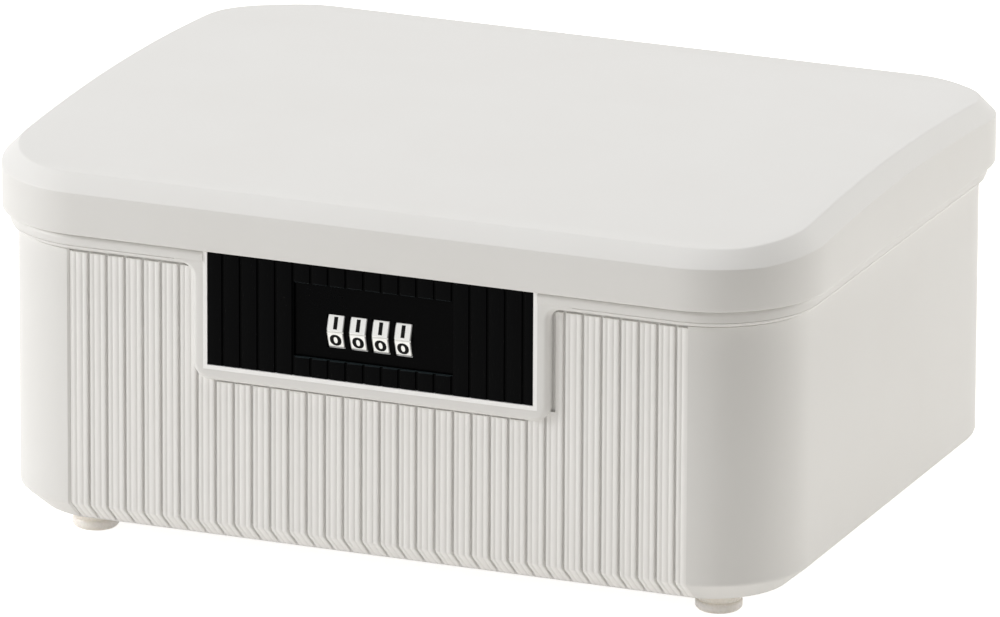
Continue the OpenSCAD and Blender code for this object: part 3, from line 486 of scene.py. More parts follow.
caseSize = {
    "halfW": 142.6, "halfD": 111.2, "cornerR": 34.4, "wall": 2.5, "floor": 2.5,
    "underside": 8.5, "bevelIn": 8.1, "bevelUp": 6.9, "bevelRound": 2.0,
    "bandLow": 106.3, "bandOut": 2.4, "bandRound": 1.2, "bandTop": 111.65, "topRound": 1.8,
    "stepZ": 107.9, "stepOut": 0.4, "stepSlot": 0.3, "stepSoft": 0.2,
    "underSlotIn": 0.55, "underSlotHigh": 0.8, "underSlotFull": 0.8,
    "shoulder": 112.0, "lip": 118.3, "lipSoft": 0.4,
    # how far in and up the bends round the two ends of the inner bevel lie
    "innerTop": ((0.0, 0.8), (0.7, -0.6)), "innerLow": ((-0.8, 0.6), (0.8, 0.0)),
}
notchSize = {"left": -61.58, "right": 59.58, "low": 70.42}
ribField = {
    "left": -111.95, "leftSlope": 0.8, "leftDip": 0.4, "right": 112.2, "depth": 1.6, "ribDepth": 0.2,
    "pitch": 6.65, "firstGroove": -111.45, "grooveW": 1.0, "firstFill": 0.75, "edgeRound": 0.34,
    "reedAt": 1.15, "reedW": 0.7, "reedDepth": 0.2, "reedSlope": 0.25,
    "endW": 4.05, "endReed": -0.32, "endFall": 0.3, "endFallHalf": 0.35,
    "splitX": 66.28, "splitW": 2.6, "splitReed": -0.355, "splitSink": 0.03, "splitLap": 0.1,
    "fade": 1.8, "lipDepth": 0.12, "lipGap": 0.03,
    "tallGap": 1.4, "behindUp": 3.6, "underGap": 0.8,
}
ribRows = (("leftRow", 7, "tall"), ("cornerRibLeft", 1, "behind"), ("underRow", 17, "under"),
           ("cornerRibsRight", 2, "behind"), ("rightRow", 6, "tall"))
surround = {
    "left": -65.7, "right": 63.7, "low": 66.3, "corner": 6.0, "round": 2.2, "joinX": 72.0,
    "joinRound": 4.0, "face": -117.25, "foot": -113.2, "bendSteps": 8, "edgeSteps": 6,
}
caseBosses = {"middle": -1.0, "apart": 69.0, "y": -112.35, "heights": (80.5, 102.5),
              "length": 7.7, "radius": 4.0, "bore": 1.25, "boreDepth": 6.5}

# the bevel's slope, and the arc at its upper edge as cosines and sines
bevelTurn = atan2(caseSize["bevelIn"], caseSize["bevelUp"])
bevelArc = [(cos(bevelTurn * k / 5), sin(bevelTurn * k / 5)) for k in range(6)]
bevelPivot = caseSize["underside"] + caseSize["bevelUp"] + caseSize["bevelRound"] * tan(bevelTurn / 2)
cornerX = caseSize["halfW"] - caseSize["cornerR"]
cornerY = caseSize["halfD"] - caseSize["cornerR"]


def caseColumns():
    # columns run round the case: left front corner, front, right front corner, then the back
    columns = []

    def corner(cx, cy, start, angles):
        for angle in angles:
            t = radians(start + angle)
            columns.append(("turn", cx, cy, cos(t), sin(t)))

    corner(-cornerX, -cornerY, 180, [*range(0, 80, 8), 79])
    left, right = ribField["left"], ribField["right"]
    join = surround["joinX"]
    columns.append(("front", left - ribField["leftSlope"], 0.0))
    columns.append(("front", left, ribField["leftDip"]))
    for x in (left, -cornerX, -join, notchSize["left"], notchSize["right"], join, cornerX, right):
        columns.append(("front", x, 1.0))
    columns.append(("front", right, 0.0))
    corner(cornerX, -cornerY, 270, [9, *range(18, 91, 8)])
    corner(cornerX, cornerY, 0, range(0, 91, 9))
    corner(-cornerX, cornerY, 90, range(0, 91, 9))
    return columns


def caseLoop(columns, out, z, sink):
    # sink moves the columns of the ribbed field inwards and up, each by its own share
    r = caseSize["cornerR"] + out
    loop = []
    for kind, *values in columns:
        if kind == "turn":
            cx, cy, dx, dy = values
            loop.append((cx + r * dx, cy + r * dy + caseY, z))
        else:
            x, deep = values
            over = max(0.0, abs(x) - cornerX)
            flush = -(cornerY + sqrt(r * r - over * over))
            flat = -(cornerY + r) if sink[0] else flush
            loop.append((x, flush + deep * (flat + sink[0] - flush) + caseY, z + deep * sink[1]))
    return loop


def caseLevels():
    # loops of the case from its underside up the outside, over the lip and down to the floor,
    # each with its way out, height and sink, and the loops between which notch and band lie
    c = caseSize
    depth = ribField["depth"]
    plain, deep = (0.0, 0.0), (depth, 0.0)
    low, run, fade = c["underside"], c["bevelRound"], ribField["fade"]
    across, along = bevelArc[-1]
    # the grooves run out on the bevel, before its lower edge
    levels = [(-c["bevelIn"], low, (ribField["lipDepth"] / across, 0.0)),
              (-c["bevelIn"] + fade * along, low + fade * across, (depth * across, depth * along))]
    for across, along in reversed(bevelArc):
        levels.append((-run + run * across, bevelPivot - run * along, (depth * across, depth * along)))

    marks = {"notchStart": len(levels)}
    slotIn, slotHigh = c["underSlotIn"], c["underSlotHigh"]
    levels += [(0.0, notchSize["low"], deep), (0.0, c["bandLow"] - slotHigh, deep),
               (-slotIn, c["bandLow"] - slotHigh * c["underSlotFull"], deep)]
    marks["bandStart"] = len(levels)
    levels.append((-slotIn, c["bandLow"], deep))
    for rise, fall in quarterTurn(4):
        levels.append((c["bandOut"] - c["bandRound"] * (1 - rise),
                       c["bandLow"] + c["bandRound"] * (1 - fall), plain))
    marks["bandEnd"] = len(levels)
    slot, step, soft = c["stepSlot"], c["stepZ"], c["stepSoft"]
    far = c["bandOut"] + c["stepOut"]
    levels += [(c["bandOut"], step - slot, plain), (c["bandOut"] - slot, step - slot / 2, plain),
               (c["bandOut"] - slot, step, plain), (far - soft, step, plain), (far, step + soft, plain)]
    for rise, fall in quarterTurn(4):
        levels.append((far - c["topRound"] * (1 - fall),
                       c["bandTop"] - c["topRound"] * (1 - rise), plain))
    lip, wall, soft = c["lip"], c["wall"], c["lipSoft"]
    levels += [(0.0, c["bandTop"], plain), (0.0, lip - soft, plain), (-soft, lip, plain),
               (-wall + soft, lip, plain), (-wall, lip - soft, plain)]
    marks["notchEnd"] = len(levels)
    inner = low + c["floor"]
    levels.append((-wall, notchSize["low"], plain))
    levels += [(-wall - dx, inner + c["bevelUp"] + dz, plain) for dx, dz in c["innerTop"]]
    levels += [(-wall - c["bevelIn"] - dx, inner + dz, plain) for dx, dz in c["innerLow"]]
    return levels, marks


def buildCaseMesh():
    columns = caseColumns()
    fieldX = [column[1] if column[0] == "front" else None for column in columns]
    cutLeft, cutRight = fieldX.index(notchSize["left"]), fieldX.index(notchSize["right"])
    joinLeft, joinRight = fieldX.index(-surround["joinX"]), fieldX.index(surround["joinX"])
    levels, marks = caseLevels()
    points, faces = [], []
    loops = [addLoop(points, caseLoop(columns, *level)) for level in levels]
    faces.append(tuple(reversed(loops[0])))
    faces.append(tuple(loops[-1]))
    for k in range(len(loops) - 1):
        def leaveOut(i, k=k):
            notch = marks["notchStart"] <= k < marks["notchEnd"] and cutLeft <= i < cutRight
            band = marks["bandStart"] <= k < marks["bandEnd"] and joinLeft <= i < joinRight
            return notch or band
        bridge(faces, loops[k], loops[k + 1], leaveOut=leaveOut)
    # floor and sides of the notch
    cut = loops[marks["notchStart"]:marks["notchEnd"] + 1]
    faces.append(tuple(cut[0][cutLeft:cutRight + 1] + cut[-1][cutLeft:cutRight + 1][::-1]))
    faces.append(tuple(loop[cutLeft] for loop in cut))
    faces.append(tuple(loop[cutRight] for loop in reversed(cut)))
    return makeMesh("caseShell", points, faces)


def surroundPath():
    # the foot of the raised surround: along the band, down, round the bottom and up again.
    # each entry: place (x, z), direction into the face, round-over, matching place at the notch
    s = surround
    west, east, low, big, small = s["left"], s["right"], s["low"], s["corner"], s["joinRound"]
    band, step, thin, wide = caseSize["bandLow"], caseSize["stepZ"], caseSize["bandRound"], s["round"]
    left, right, sill = notchSize["left"], notchSize["right"], notchSize["low"]
    path = [(-s["joinX"], band, 0.0, 1.0, thin, -s["joinX"], step)]

    def bend(cx, cz, radius, start, sweep, outer, rounds, inner):
        # outer is 1 where the bend's outside is the raised side; inner has its places at the notch
        for k in range(s["bendSteps"] + 1):
            t = k / s["bendSteps"]
            angle = radians(start + sweep * t)
            dx, dz = cos(angle), sin(angle)
            first, f = (0, t * 2) if t < 0.5 else (1, t * 2 - 1)
            (ax, az), (bx, bz) = inner[first], inner[first + 1]
            path.append((cx + radius * dx, cz + radius * dz, dx * outer, dz * outer,
                         rounds[0] + (rounds[1] - rounds[0]) * t,
                         ax + (bx - ax) * f, az + (bz - az) * f))

    bend(west - small, band - small, small, 90, -90, 1, (thin, wide),
         ((west - small, step), (left, step), (left, band - small)))
    bend(west + big, low + big, big, 180, 90, -1, (wide, wide),
         ((left, low + big), (left, sill), (west + big, sill)))
    bend(east - big, low + big, big, 270, 90, -1, (wide, wide),
         ((east - big, sill), (right, sill), (right, low + big)))
    bend(east + small, band - small, small, 180, -90, 1, (wide, thin),
         ((right, band - small), (right, step), (east + small, step)))
    path.append((s["joinX"], band, 0.0, 1.0, thin, s["joinX"], step))
    return path


def buildSurroundMesh():
    path = surroundPath()
    face, foot = surround["face"], surround["foot"]
    points, faces = [], []
    rows = [addLoop(points, [(x, foot, z) for x, z, *_ in path])]
    for rise, fall in quarterTurn(surround["edgeSteps"]):
        rows.append(addLoop(points, [(x + dx * wide * (1 - fall), face + wide * (1 - rise),
                                      z + dz * wide * (1 - fall)) for x, z, dx, dz, wide, _, _ in path]))
    rows.append(addLoop(points, [(ix, face, iz) for *_, ix, iz in path]))
    rows.append(addLoop(points, [(ix, foot, iz) for *_, ix, iz in path]))
    bridgeAll(faces, rows[:-1], closed=False)
    # inner side, only where it stands at the notch
    inBand = [place[6] >= caseSize["bandLow"] + 0.1 for place in path]
    bridge(faces, rows[-2], rows[-1], closed=False, leaveOut=lambda i: inBand[i] and inBand[i + 1])
    return makeMesh("surround", points, faces)


def ribPath(topZ, lowZ=None):
    # places on the floor of the field, from the top of a rib to its lower end, each with the
    # direction in which the rib stands out; y is counted inwards from the wall's face
    depth = ribField["depth"]
    path = [(depth, topZ, 1.0, 0.0)]
    if lowZ is not None:
        return path + [(depth, lowZ, 1.0, 0.0)]
    run = caseSize["bevelRound"]
    for across, along in bevelArc:
        path.append((run - (run - depth) * across, bevelPivot - (run - depth) * along, across, -along))
    lean = 1 / cos(bevelTurn)
    path.append((caseSize["bevelIn"] + depth * lean, caseSize["underside"] + ribField["lipGap"], lean, 0.0))
    return path


def ribSection(width, reeds, height, fall):
    # from the left foot of a rib over its top to the right foot: (x, height)
    f = ribField
    half = width / 2
    soft = min(f["edgeRound"], height / 2)
    edge = [(half - soft * (1 - down), height - soft * (1 - rise)) for rise, down in quarterTurn(3)]
    out = [(-half, 0.0)] + [(-x, z) for x, z in edge]
    w, deep, slope = f["reedW"] / 2, f["reedDepth"], f["reedSlope"]
    for at in reeds:
        out += [(at + x, height + z) for x, z in ((-w - slope, 0.0), (-w, -deep / 3), (-w / 3, -deep),
                                                  (w / 3, -deep), (w, -deep / 3), (w + slope, 0.0))]
    if fall:
        end = f["endFallHalf"]
        return out + [(half - end, height), (half + end, height - fall), (half + end, 0.0)]
    return out + edge[::-1] + [(half, 0.0)]


ribReeds = (-ribField["reedAt"], ribField["reedAt"])
ribHeight = ribField["depth"] - ribField["ribDepth"]


def ribMesh(width, topZ, shift=0.0, reeds=ribReeds, height=ribHeight, fall=0.0, lowZ=None):
    section = ribSection(width, reeds, height, fall)
    wall = -caseSize["halfD"] + caseY
    points, faces = [], []
    rows = []
    for inward, z, dOut, dZ in ribPath(topZ, lowZ):
        rows.append(addLoop(points, [(x + shift, wall + inward - h * dOut, z + h * dZ)
                                     for x, h in section]))
    bridgeAll(faces, rows[::-1], closed=False)
    faces.append(tuple(reversed(rows[-1])))
    faces.append(tuple(rows[0]))
    return makeMesh("rib", points, faces)


def bossMesh(size, side, z, axis):
    # flares out into the wall that carries it; its bore has a chamfer and a drilled tip
    centre = (size["middle"] + side * size["apart"], size["y"], z)
    length, radius, bore = size["length"], size["radius"], size["bore"]
    bottom = length - size["boreDepth"]
    profile = [(radius + 0.9, -0.3), (radius + 0.25, 0.35), (radius, 1.2),
               (radius - 0.05, length - 0.3), (radius - 0.3, length), (bore + 0.2, length),
               (bore, length - 0.25), (bore, bottom), (0.0, bottom - 0.4)]
    return turned("boss", profile, centre, axis, 40)


hinge = {
    "y": 117.05, "z": 112.3, "spanHalf": 85.0, "knuckleR": 3.4, "bodyBore": 1.52, "lidBore": 1.56,
    "bodySpans": ((-21.9, -9.9), (9.9, 21.9)), "armSink": 1.2, "armLap": 4,
    "armFoot": ((0.0, -2.6), (1.25, -2.6), (1.6, -1.1), (2.9, 0.0)),
    "leafHalf": 9.5, "leafHigh": 8.0, "leafSink": 1.0,
}


def knuckleMesh(name, outline, bore, x0, x1, soften):
    # outline of (y, z) with the pin's bore in it, drawn out along X, with softened edges
    hole = arcPoints(hinge["y"], hinge["z"], bore, 0, 360, 24)[:-1]
    points, faces = [], []
    low = addLoop(points, [(x0, y, z) for y, z in outline + hole])
    high = addLoop(points, [(x1, y, z) for y, z in outline + hole])
    rims = [[Vector((y, z, 0)) for y, z in rim] for rim in (outline, hole)]
    for a, b, c in tessellate_polygon(rims):
        faces += [(low[a], low[b], low[c]), (high[c], high[b], high[a])]
    split = len(outline)
    bridge(faces, low[:split], high[:split])
    bridge(faces, low[split:], high[split:])

    def finish(bm):
        bmesh.ops.recalc_face_normals(bm, faces=bm.faces)
        bmesh.ops.dissolve_limit(bm, angle_limit=0.001, verts=bm.verts, edges=bm.edges)
        sharp = [e for e in bm.edges if len(e.link_faces) == 2 and e.calc_face_angle(0) > 0.9]
        bmesh.ops.bevel(bm, geom=sharp, offset=soften * mm, segments=2, profile=0.5,
                        affect="EDGES", clamp_overlap=True)

    return editMesh(makeMesh(name, points, faces), finish)


def bodyKnuckle(x0, x1):
    # arm from the shoulder, and the knuckle at its end
    y, z, r = hinge["y"], hinge["z"], hinge["knuckleR"]
    startY = caseSize["halfD"] + caseY - hinge["armSink"]
    top = caseSize["shoulder"]
    outline = [(startY + dy, z - r + dz) for dy, dz in hinge["armFoot"]]
    outline += arcPoints(y, z, r, 270, 180 + hinge["armLap"], 22)
    outline += [(y - r - 0.1, top), (startY, top)]
    return knuckleMesh("bodyKnuckle", outline, hinge["bodyBore"], x0, x1, 0.2)


def makeCase():
    meshes = [buildCaseMesh(), buildSurroundMesh()]
    for side in (-1, 1):
        meshes += [bossMesh(caseBosses, side, z, (0, 1, 0)) for z in caseBosses["heights"]]
        middle = side * hinge["spanHalf"]
        meshes += [bodyKnuckle(middle + low, middle + high) for low, high in hinge["bodySpans"]]
    case = makePiece("caseShell", joinMeshes("caseShell", meshes), finishes["caseWhite"], 32)
    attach(case, "body")
    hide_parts("body_shell")

    f = ribField
    pitch, gap = f["pitch"], f["grooveW"]
    width = pitch - gap
    tall = caseSize["bandLow"] - f["tallGap"]
    tops = {"tall": tall, "behind": surround["low"] + f["behindUp"],
            "under": surround["low"] - f["underGap"]}
    # the ribs' finish is the case plastic with painted sheen, a lighter tone for light on their rounded
    # ridges
    white = finishes["ribWhitePaintedSheen"]
    rows = []
    firstX = f["firstGroove"] + pitch / 2
    for name, count, top in ribRows:
        rows.append(ribRow(name, ribMesh(width, tops[top]), count, firstX, pitch, white))
        firstX += count * pitch
    endX = firstX - width / 2 + f["endW"] / 2
    rows.append(ribMesh(f["endW"], tall, endX, (f["endReed"],), fall=f["endFall"]))
    rows.append(ribMesh(gap + 0.1, tall, f["firstGroove"], (), height=f["firstFill"]))
    # beside the surround's right edge a narrower rib goes up, which leaves a slit between them
    rows.append(ribMesh(f["splitW"], tall, f["splitX"], (f["splitReed"],),
                        height=ribHeight - f["splitSink"], lowZ=tops["behind"] - f["splitLap"]))
    ribs = makePiece("caseRibs", joinMeshes("caseRibs", rows), white, 40)
    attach(ribs, "body")
    print("case and ribs made")


# the lid

lidSize = {
    "halfW": 148.2, "halfD": 116.8, "cornerR": 40.0, "low": 112.3, "skirt": 127.1, "bevelIn": 5.7,
    "bevelUp": 5.7, "crown": 5.3, "crownReach": 104.8, "wall": 2.2, "rimW": 4.8, "rimH": 2.6,
    "frontSteps": 28, "cornerSteps": 20, "sideSteps": 20, "lowRound": 0.6, "lowRise": 0.1,
    "riseFrom": 1.7, "riseTo": 1.5, "skirtRound": 0.7, "topRound": 1.5,
}
lidBosses = {"middle": -1.6, "apart": 50.5, "y": -104.65, "top": 131.0,
             "length": 6.5, "radius": 4.0, "bore": 1.25, "boreDepth": 6.0}


def crown(y):
    # y from the middle of the case
    return lidSize["crown"] * max(0.0, 1 - (y / lidSize["crownReach"]) ** 2)


def lidColumns():
    a = lidSize["halfW"] - lidSize["cornerR"]
    b = lidSize["halfD"] - lidSize["cornerR"]
    m, q, s = lidSize["frontSteps"], lidSize["cornerSteps"], lidSize["sideSteps"]
    side = [(a, -b, radians(-90 + 90 * k / q)) for k in range(1, q + 1)]
    side += [(a, -b + 2 * b * k / s, 0.0) for k in range(1, s)]
    side += [(a, b, radians(90 * k / q)) for k in range(q)]
    front = [(-a + 2 * a * k / m, -b, radians(-90)) for k in range(m + 1)]
    back = [(a - 2 * a * k / m, b, radians(90)) for k in range(m + 1)]
    other = [(-x, y, pi - t) for x, y, t in reversed(side)]
    return front + side + back + other, m + 1, len(side)


def lidLoop(columns, inset, z, lift):
    r = lidSize["cornerR"] - inset
    loop = []
    for cx, cy, t in columns:
        y = cy + r * sin(t)
        loop.append((cx + r * cos(t), y + caseY, z + lift * crown(y)))
    return loop


def capGrid(points, faces, loop, frontCount, sideCount, z, up):
    # fills a loop with rows across, lifted by the crown
    m = frontCount - 1
    rows = [loop[:frontCount]]
    for j in range(sideCount):
        right = loop[frontCount + j]
        left = loop[2 * frontCount + 2 * sideCount - 1 - j]
        row = [left]
        for k in range(1, m):
            x = points[left][0] + (points[right][0] - points[left][0]) * k / m
            y = points[right][1]
            points.append((x, y, z + crown(y - caseY)))
            row.append(len(points) - 1)
        rows.append(row + [right])
    rows.append(list(reversed(loop[frontCount + sideCount:2 * frontCount + sideCount])))
    bridgeAll(faces, rows if up else rows[::-1], closed=False)


def lidProfile():
    s = lidSize
    corner = (0.0, s["skirt"])
    top = (s["bevelIn"], s["skirt"] + s["bevelUp"])
    edge, low = s["lowRound"], s["low"] + s["lowRise"]
    out = [(s["rimW"], s["low"], 0.0), (s["riseFrom"], s["low"], 0.0), (s["riseTo"], low, 0.0)]
    out += [(edge * (1 - rise), low + edge * (1 - fall), 0.0) for rise, fall in quarterTurn(4)]
    out += [(x, z, 1.0) for x, z in roundCorner(corner, (0.0, s["low"]), top, s["skirtRound"], 5)]
    out += [(x, z, 1.0) for x, z in roundCorner(top, corner, (s["halfD"], top[1]), s["topRound"], 5)]
    return out


def makeLid():
    s = lidSize
    columns, frontCount, sideCount = lidColumns()
    points, faces = [], []
    top = s["skirt"] + s["bevelUp"]
    outside = [addLoop(points, lidLoop(columns, *level)) for level in lidProfile()]
    bridgeAll(faces, outside)
    capGrid(points, faces, outside[-1], frontCount, sideCount, top, True)
    turn = s["wall"] * tan(radians(22.5))
    rim = s["low"] + s["rimH"]
    inner = [(s["rimW"], s["low"], 0.0), (s["rimW"], rim, 0.0), (s["wall"], rim, 0.0),
             (s["wall"], s["skirt"] - turn, 1.0), (s["bevelIn"] + turn, top - s["wall"], 1.0)]
    inside = [addLoop(points, lidLoop(columns, *level)) for level in inner]
    bridgeAll(faces, inside[::-1])
    capGrid(points, faces, inside[-1], frontCount, sideCount, top - s["wall"], False)
    meshes = [makeMesh("lidShell", points, faces)]
    for side in (-1, 1):
        meshes.append(bossMesh(lidBosses, side, lidBosses["top"], (0, 0, -1)))
        middle = side * hinge["spanHalf"]
        meshes.append(lidLeaf(middle - hinge["leafHalf"], middle + hinge["leafHalf"]))
    lid = makePiece("lidShell", joinMeshes("lidShell", meshes), finishes["caseWhite"], 32)
    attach(lid, "lid")
    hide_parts("lid_shell")
    print("lid made")


def lidLeaf(x0, x1):
    # leaf on the lid's back face, with its knuckle
    y, z, r = hinge["y"], hinge["z"], hinge["knuckleR"]
    startY = lidSize["halfD"] + caseY - hinge["leafSink"]
    high = z + hinge["leafHigh"]
    outline = arcPoints(y, z, r, 180, 180, 26)
    outline += [(y + r, z + 1.0), (y + r - 0.6, z + 3.0), (y + 1.2, high - 0.6), (y - 0.6, high),
                (startY, high), (startY, z + 0.6), (y - r, z + 0.4)]
    return knuckleMesh("lidLeaf", outline, hinge["lidBore"], x0, x1, 0.3)


# the black fascia

fasciaSize = {
    "left": -60.0, "right": 58.0, "low": 72.0, "top": 111.7, "face": -117.05, "back": -115.55,
    "groove": 0.7, "grooveW": 1.0, "pitch": 6.4, "firstGroove": -54.4, "soft": 0.28,
    "windowLeft": -28.9, "windowRight": 28.9, "windowLow": 78.6, "windowTop": 104.6,
    "ribs": 17, "besideWindow": 4,
}


def fasciaRib(width, low, top):
    # a rib that stands on the fascia's ground, rounded on all its upper edges, at x = 0
    f = fasciaSize
    soft = f["soft"]
    half = width / 2
    points, faces = [], []

    def ring(inset, y):
        rim = rectangle(inset - half, half - inset, low + 2 * inset, top - 2 * inset)
        return addLoop(points, [(x, y, z) for x, z in rim])

    rings = [ring(0.0, f["face"] + f["groove"] + 0.05)]
    rings += [ring(soft * (1 - fall), f["face"] + soft * (1 - rise)) for rise, fall in quarterTurn(3)]
    bridgeAll(faces, rings)
    faces.append(tuple(rings[-1]))
    return makeMesh("fasciaRib", points, faces)


def makeFascia():
    f = fasciaSize
    black = finishes["fasciaBlack"]
    outer = rectangle(f["left"], f["right"], f["low"], f["top"])
    window = rectangle(f["windowLeft"], f["windowRight"], f["windowLow"], f["windowTop"])
    points, faces = [], []
    ground = f["face"] + f["groove"]
    ring = [addLoop(points, [(x, y, z) for x, z in rim])
            for rim, y in ((outer, ground), (window, ground), (window, f["back"]), (outer, f["back"]))]
    bridgeAll(faces, ring + ring[:1])
    meshes = [makeMesh("fasciaGround", points, faces)]
    pitch = f["pitch"]
    width = pitch - f["grooveW"]
    beside, between = f["besideWindow"], f["ribs"] - 2 * f["besideWindow"]
    for name, low, top, start, count in (
            ("fasciaLeft", f["low"], f["top"], 0, beside),
            ("fasciaRight", f["low"], f["top"], beside + between, beside),
            ("fasciaOver", f["windowTop"], f["top"], beside, between),
            ("fasciaUnder", f["low"], f["windowLow"], beside, between)):
        firstX = f["firstGroove"] + pitch / 2 + start * pitch
        meshes.append(ribRow(name, fasciaRib(width, low, top), count, firstX, pitch, black))
    lastGroove = f["firstGroove"] + f["ribs"] * pitch
    for low, high in ((f["left"], f["firstGroove"] - f["grooveW"] / 2),
                      (lastGroove + f["grooveW"] / 2, f["right"])):
        end = fasciaRib(high - low, f["low"], f["top"])
        end.transform(Matrix.Translation(((low + high) / 2 * mm, 0, 0)))
        meshes.append(end)
    fascia = makePiece("fasciaPlate", joinMeshes("fasciaPlate", meshes), black, 40)
    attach(fascia, "body")
    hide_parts("ribbed_fascia")
    print("fascia made")


# the number wheels

wheelSize = {
    "centres": (-13.825, -5.675, 2.475, 10.625), "width": 6.2, "axisY": -106.553, "axisZ": 88.7,
    "tip": 10.147, "flat": 9.65, "bore": 6.55, "grooveW": 0.7, "grooveDepth": 0.55,
    "lipOut": 0.4, "lipIn": 0.06, "edgeSoft": 0.45, "edgeShare": 0.3,
}
digitSize = {"height": 4.1, "fontShare": 1.39, "wide": 1.45, "bold": 0.2, "lift": 0.02, "thick": 0.05}
flatTurn = radians(36)  # from one of a wheel's ten flats to the next


def wheelOutline():
    # ten flats with a rounded notch between each two: (y, z) from the wheel's axis
    w = wheelSize
    tilt = sin(flatTurn / 2)
    outline = []
    for k in range(10):
        t = flatTurn * k
        out, along = Vector((-cos(t), sin(t))), Vector((sin(t), cos(t)))
        for side in (-1, 1):
            lean = out * cos(flatTurn / 2) + along * (side * tilt)
            step = (along * side - lean * tilt) * (w["grooveW"] / 2)
            rim = out * w["tip"] + step
            pair = [tuple(rim + step * w["lipOut"]), tuple(rim - lean * w["lipIn"])]
            outline += pair if side < 0 else pair[::-1]
            if side < 0:
                outline.append(tuple(out * (w["tip"] - w["grooveDepth"])))
    return outline


def wheelMesh(centreX):
    w = wheelSize
    outline = wheelOutline()
    bore = [(w["bore"] * y / hypot(y, z), w["bore"] * z / hypot(y, z)) for y, z in outline]
    points, faces = [], []

    def ring(x, rim, scale):
        return addLoop(points, [(centreX + x, w["axisY"] + y * scale, w["axisZ"] + z * scale)
                                for y, z in rim])

    half, soft = w["width"] / 2, w["edgeSoft"]
    near = w["edgeShare"] * soft
    edge = [(half, bore, 1.0), (half, outline, 1 - soft / w["flat"]),
            (half - near, outline, 1 - near / w["flat"]), (half - soft, outline, 1.0)]
    rings = [ring(-x, rim, scale) for x, rim, scale in edge]
    rings += [ring(x, rim, scale) for x, rim, scale in reversed(edge)]
    bridgeAll(faces, rings + rings[:1])
    return editMesh(makeMesh("wheel", points, faces),
                    lambda bm: bmesh.ops.recalc_face_normals(bm, faces=bm.faces))


def digitMesh(label):
    # flat digit centred on the origin, drawn upright in X and Y, in metres
    d = digitSize
    curve = bpy.data.curves.new("digit" + label, "FONT")
    curve.body = label
    curve.size = d["height"] * d["fontShare"] * mm
    curve.offset = d["bold"] * mm
    curve.extrude = d["thick"] / 2 * mm
    curve.align_x = "CENTER"
    curve.resolution_u = 4
    holder = placeObject("digit" + label, curve)
    bpy.context.view_layer.update()
    ready = holder.evaluated_get(bpy.context.evaluated_depsgraph_get())
    mesh = bpy.data.meshes.new_from_object(ready)
    bpy.data.objects.remove(holder)
    ys = [v.co.y for v in mesh.vertices]
    xs = [v.co.x for v in mesh.vertices]
    centred = Matrix.Translation((-(min(xs) + max(xs)) / 2, -(min(ys) + max(ys)) / 2, 0))
    mesh.transform(Matrix.Diagonal((d["wide"], 1, 1, 1)) @ centred)
    return mesh


def makeWheels():
    w = wheelSize
    plain = [digitMesh(str(k)) for k in range(10)]
    for i, centreX in enumerate(w["centres"], 1):
        wheel = makePiece("wheel%d" % i, wheelMesh(centreX), finishes["wheelSilver"], 20)
        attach(wheel, "wheel_%d" % i)
        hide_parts("number_wheel_%d" % i)
        parts = []
        for k in range(10):
            angle = flatTurn * (k - 0.5)
            normal = Vector((0, -cos(angle), sin(angle)))
            up = Vector((0, sin(angle), cos(angle)))
            right = Vector((1, 0, 0))
            axis = Vector((centreX, w["axisY"], w["axisZ"]))
            middle = axis + normal * (w["flat"] + digitSize["lift"])
            turn = Matrix((right, up, normal)).transposed().to_4x4()
            part = plain[k].copy()
            part.transform(Matrix.Translation(middle * mm) @ turn)
            parts.append(part)
        digits = makePiece("digits%d" % i, joinMeshes("digits%d" % i, parts), finishes["digitInk"], 40)
        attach(digits, "wheel_%d" % i)
    print("number wheels made")


# the feet

footSize = {
    "places": {"foot_front_left": (-114.0, -88.65), "foot_front_right": (114.0, -88.65),
               "foot_back_left": (-114.0, 81.35), "foot_back_right": (114.0, 81.35)},
    "radius": 8.0, "height": 8.5, "lap": 0.02, "tip": 7.2, "taper": 0.8, "hollow": 0.35,
    # height and depth of the waist's points
    "waist": ((3.0, 0.0), (3.4, 0.25), (3.6, 0.6), (3.9, 0.6), (4.1, 0.25), (4.5, 0.0)),
}


def footProfile():
    # from the shallow hollow in the underside, round the lower edge and past the waist to the case
    f = footSize
    r, tip, taper, top = f["radius"], f["tip"], f["taper"], f["height"] + f["lap"]
    profile = [(0.0, f["hollow"]), (r * 0.55, f["hollow"]), (r * 0.6, 0.05), (r * 0.66, 0.0),
               (tip - 0.2, 0.0), (tip, 0.12), (r - 0.15, taper), (r, taper + 0.45)]
    return profile + [(r - deep, z) for z, deep in f["waist"]] + [(r, top), (0.0, top)]


def makeFeet():
    for node, (x, y) in footSize["places"].items():
        mesh = turned("pad", footProfile(), (x, y, 0), (0, 0, 1), 56)
        pad = makePiece(node.replace("_", "") + "Pad", mesh, finishes["footRubber"], 35)
        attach(pad, "body")
        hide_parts(node)
    print("feet made")


makeCase()
makeLid()
makeFascia()
makeWheels()
makeFeet()


# finishes on the pieces that stay as the CAD made them

keptFinishes = {
    "lockTrim": ("lock_housing",),
    "plateBlack": ("number_plate",),
    "lockGrey": ("lock_back_cover", "lid_striker", "wheel_carriage"),
    "sliderBlack": ("code_set_slider",),
    "screwSteel": ("spindle", "hinge_pin_left", "hinge_pin_right", "cover_screws", "housing_screws",
                   "striker_screws", "latch_bar_screws"),
    "springSteel": ("latch_bar", "wheel_spring"),
    "sleeveBrass": ("gate_sleeve_1", "gate_sleeve_2", "gate_sleeve_3", "gate_sleeve_4"),
}
for finish, names in keptFinishes.items():
    for node in names:
        for place in nodes[node].material_slots:
            place.material = finishes[finish]
print("kept nodes finished")


# floor, light and camera

